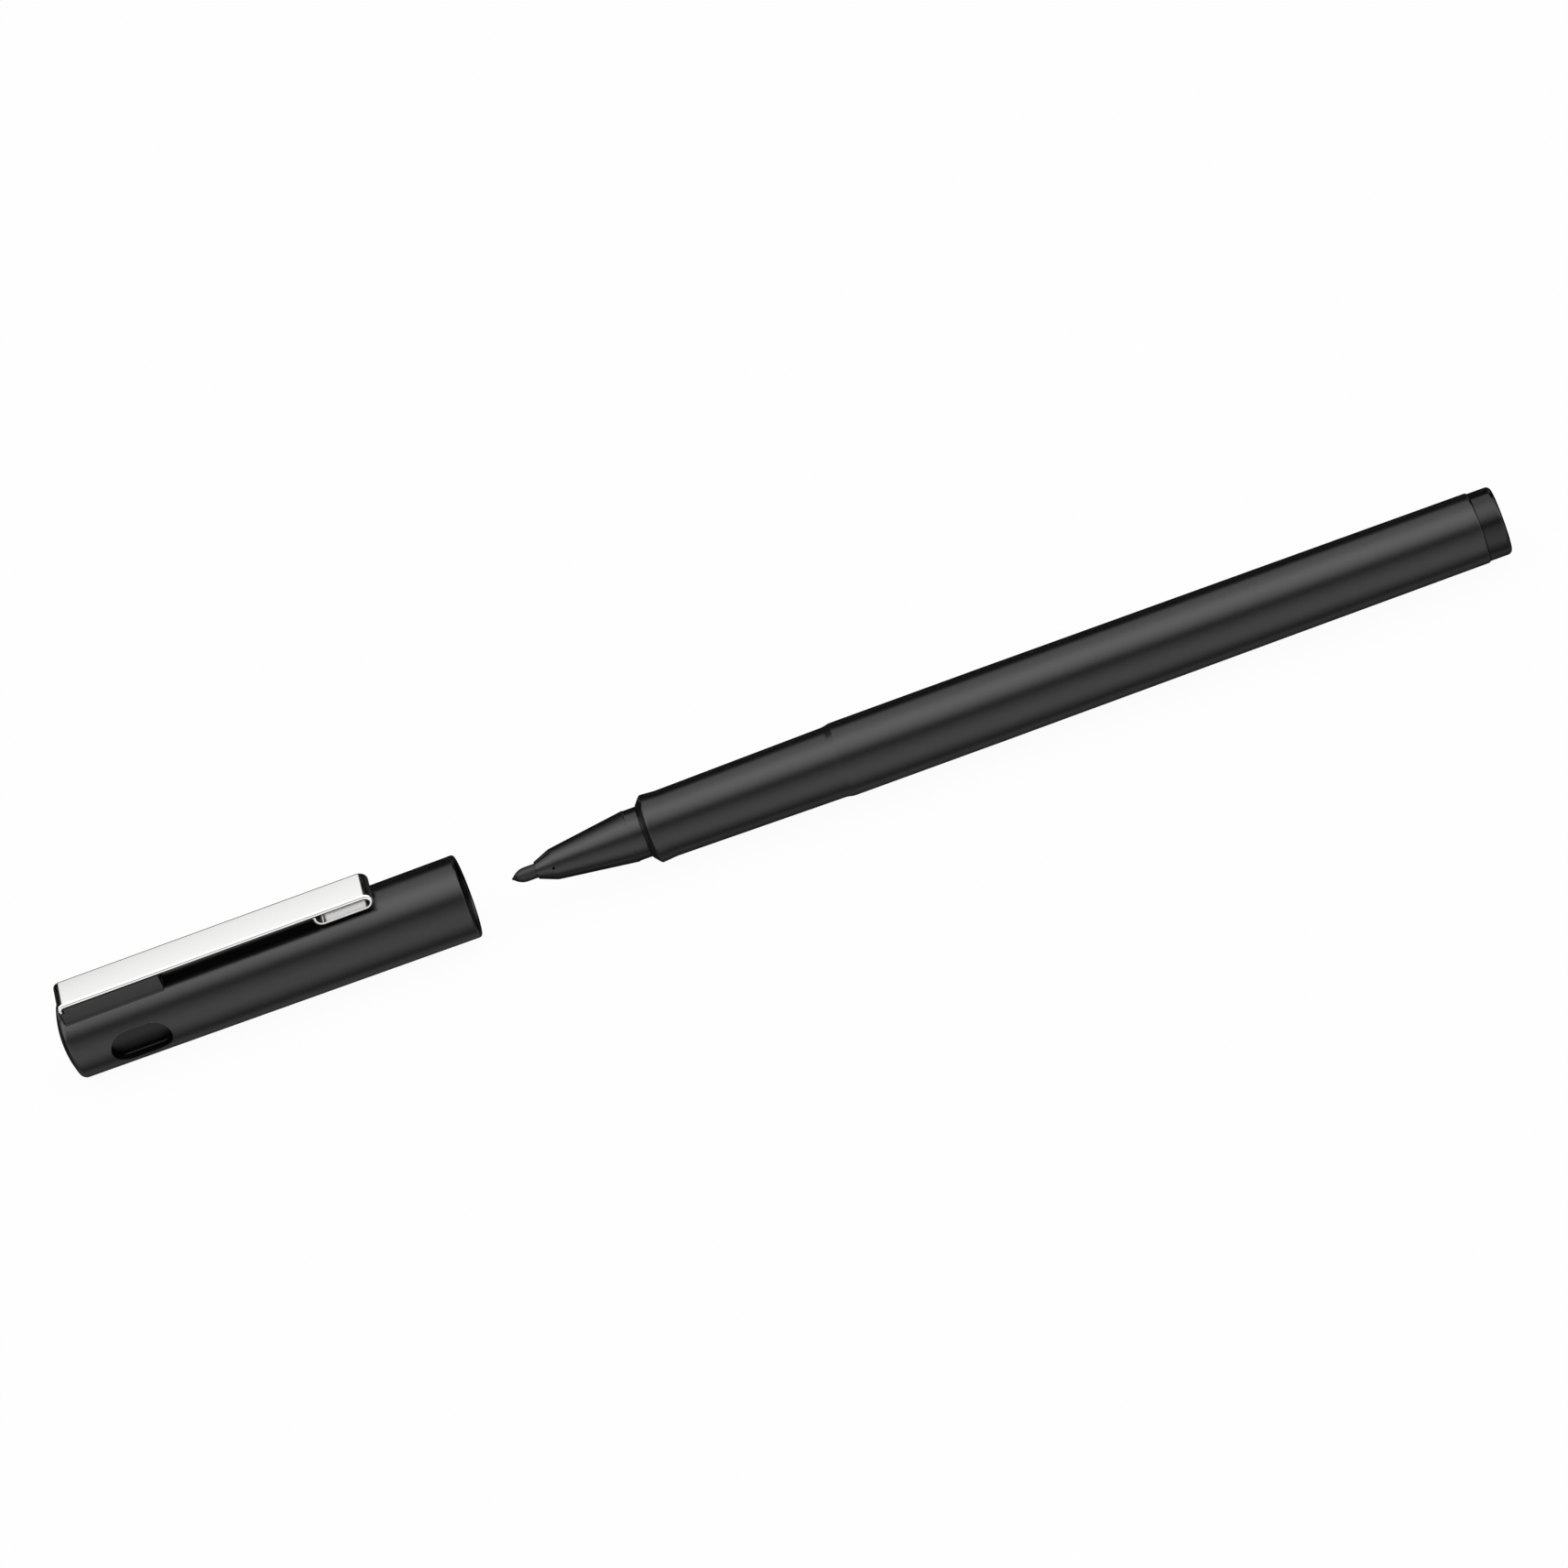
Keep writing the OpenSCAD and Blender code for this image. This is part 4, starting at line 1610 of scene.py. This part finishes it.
@dataclass(frozen=True)
class Studio:
    """Pale floor under a sky that is brightest overhead, weaker in front, and dark low behind.

    The sky's levels go by the angle about the pen's axis, in degrees from the horizon in front. Behind, two
    dark corners lie half way up toward the pen's ends, and elsewhere the light from its ends has a least
    level. Glossy rays see the floor as a painted glow instead of the lit paper, set by the distance behind
    the axis in millimetres: painted shadow close to the pen's axis, and painted dark far behind it.
    """

    floor_shade: float = 0.66
    floor_size: float = 4.0
    camera_white: float = 0.96
    level: float = 0.97
    sky: tuple[tuple[float, float], ...] = (
        (0, 1.02), (10, 0.87), (20, 0.7), (27, 0.58), (32, 0.45), (36, 0.31), (40, 0.25), (44, 0.28),
        (49, 0.43), (55, 0.76), (62, 1.22), (70, 1.62), (80, 1.95), (90, 2.18), (100, 2.1), (110, 1.68),
        (122, 1.27), (134, 1.04), (141, 0.95), (146, 0.8), (152, 0.19), (156, 0.03), (180, 0.025),
    )
    corner_place: float = 0.17
    corner_soft: float = 0.12
    corner_edge: float = 0.03
    corner_from: float = 0.61
    corner_to: float = 0.85
    end_place: float = 0.3
    end_light: float = 0.38
    floor_reach: float = 25.0
    # Painted glow that gloss mirrors of the floor, by distance behind the axis: painted shadow near it,
    # painted dark far behind.
    painted_floor_glow: tuple[tuple[float, float], ...] = (
        (-25, 1.0), (-22, 0.99), (-18, 0.9), (-15, 0.76), (-13, 0.64), (-11.5, 0.53), (-10, 0.42),
        (-9, 0.29), (-8, 0.2), (-7, 0.17), (-6, 0.25), (-5, 0.26), (-4.2, 0.18), (-3.3, 0.07),
        (-2, 0.03), (8, 0.03), (14, 0.02),
    )

    def _sky(self) -> None:
        """Lights the scene by direction round the pen's axis, and shows white to the camera."""
        world = bpy.data.worlds.new("studio")
        bpy.context.scene.world = world
        world.use_nodes = True
        graph = Graph(world.node_tree)
        way = graph.node("ShaderNodeTexCoord").outputs["Generated"]
        parts = graph.node("ShaderNodeSeparateXYZ", inputs={0: way})
        depth, height = graph.value(parts, "Y"), graph.value(parts, "Z")
        sideways = graph.value(parts, "X").math("ABSOLUTE")
        corner = (sideways * depth).above(self.corner_place, self.corner_soft)
        corner = corner * depth.above(self.corner_from, self.corner_edge)
        corner = corner * (1.0 - depth.above(self.corner_to, self.corner_edge))
        turn = height.math("ARCTAN2", -depth) / math.pi
        peak = max(level for _, level in self.sky)
        stops = [(angle / 180, level / peak) for angle, level in self.sky]
        ramp = graph.node("ShaderNodeValToRGB", {"stops": stops}, {0: turn.math("MAXIMUM", 0.0)})
        ends = sideways.above(self.end_place, self.corner_soft) * (self.end_light / peak)
        glow = graph.value(ramp, 0).math("MAXIMUM", ends)
        strength = (1.0 - corner) * (peak * self.level)
        light = graph.node("ShaderNodeBackground", inputs={"Color": glow, "Strength": strength})
        white = graph.node("ShaderNodeBackground", inputs={"Color": grey(1.0), "Strength": 1.0})
        seen = graph.node("ShaderNodeLightPath").outputs["Is Camera Ray"]
        shown = graph.blend(seen, light, white)
        graph.node("ShaderNodeOutputWorld", inputs={"Surface": shown.outputs[0]})

    def _floor(self) -> None:
        """Lays the floor: nearly white to the camera and keeping the shadow, with a painted glow for glossy
        rays.
        """
        half = self.floor_size / 2
        mesh = bpy.data.meshes.new("floor")
        corners = [(-half, -half, 0), (half, -half, 0), (half, half, 0), (-half, half, 0)]
        mesh.from_pydata(corners, [], [(0, 1, 2, 3)])
        floor = bpy.data.objects.new("floor", mesh)
        bpy.context.scene.collection.objects.link(floor)
        surface = Surface("floor_paper_and_painted_glow")
        graph = surface.graph
        rays = graph.node("ShaderNodeLightPath")
        paper = graph.node("ShaderNodeBsdfDiffuse", inputs={"Color": grey(self.floor_shade)})
        white = graph.node("ShaderNodeEmission", inputs={"Color": grey(1.0), "Strength": 1.0})
        share = graph.value(rays, "Is Camera Ray") * self.camera_white
        shown = graph.blend(share, paper, white)
        # Glossy rays see a painted glow instead of the lit paper, with painted shadow near the pen's axis
        # and painted dark behind.
        depth = graph.value(graph.node("ShaderNodeSeparateXYZ", inputs={0: surface.place}), "Y")
        reach = self.floor_reach * MM
        stops = [((y / self.floor_reach + 1) / 2, level) for y, level in self.painted_floor_glow]
        painted_glow_ramp = graph.node("ShaderNodeValToRGB", {"stops": stops}, {0: (depth / reach + 1.0) / 2.0})
        glow = graph.node("ShaderNodeEmission", inputs={"Color": painted_glow_ramp.outputs[0], "Strength": self.level})
        glossy = graph.value(rays, "Is Glossy Ray")
        mixed = graph.blend(glossy, shown, glow)
        graph.node("ShaderNodeOutputMaterial", inputs={"Surface": mixed.outputs[0]})
        mesh.materials.append(surface.material)

    def build(self) -> None:
        """Sets up the sky and the floor, and shows colours as they are."""
        self._sky()
        self._floor()
        bpy.context.scene.view_settings.view_transform = "Standard"


@dataclass(frozen=True)
class ProductCamera:
    """Camera almost square to the pen's axis, turned so that the pen climbs to the right."""

    elevation: float = math.radians(43)
    roll: float = math.radians(20)
    lens: float = 155.4
    sensor: float = 36.0
    distance: float = 0.86
    rearward: float = 0.03
    aim: tuple[float, float, float] = (0.00048, -0.0003, 0.00525)
    nearest: float = 0.01
    farthest: float = 10.0

    def build(self) -> bpy.types.Object:
        """Makes the scene's camera.

        Returns:
            The camera object.
        """
        data = bpy.data.cameras.new("camera")
        data.lens = self.lens
        data.sensor_width = self.sensor
        data.clip_start, data.clip_end = self.nearest, self.farthest
        camera = bpy.data.objects.new("camera", data)
        bpy.context.scene.collection.objects.link(camera)
        away = Vector((0, -math.cos(self.elevation), math.sin(self.elevation))) * self.distance
        away.x = self.rearward
        back = away.normalized()
        level_right = (Vector((1, 0, 0)) - back * back.x).normalized()
        level_up = back.cross(level_right)
        right = level_right * math.cos(self.roll) - level_up * math.sin(self.roll)
        up = level_right * math.sin(self.roll) + level_up * math.cos(self.roll)
        turn = Matrix((right, up, back)).transposed().to_4x4()
        camera.matrix_world = Matrix.Translation(Vector(self.aim) + away) @ turn
        bpy.context.scene.camera = camera
        return camera


def main() -> None:
    """Builds the camera, the studio and every piece, and reports each one."""
    logging.basicConfig(level=logging.INFO, format="%(message)s")
    ProductCamera().build()
    Studio().build()
    place = Placement.from_frame()
    satin = MouldedPlastic()
    pieces = [
        Barrel(place, satin),
        NoseCone(place, satin),
        Nib(place, BondedFibre()),
        RearPlug(place, MouldedPlastic(roughness=0.13, shade=0.002, index=1.46)),
        CapShell(place, satin),
        InnerCap(place, MouldedPlastic(shade=0.004, roughness=0.3, index=1.4)),
        Clip(place, SpringSteel()),
    ]
    for piece in pieces:
        made = piece.add()
        LOG.info("%s: %d faces on %s", made.name, len(made.data.polygons), piece.body.value)
    Reservoir().dress()


if __name__ == "__main__":
    main()
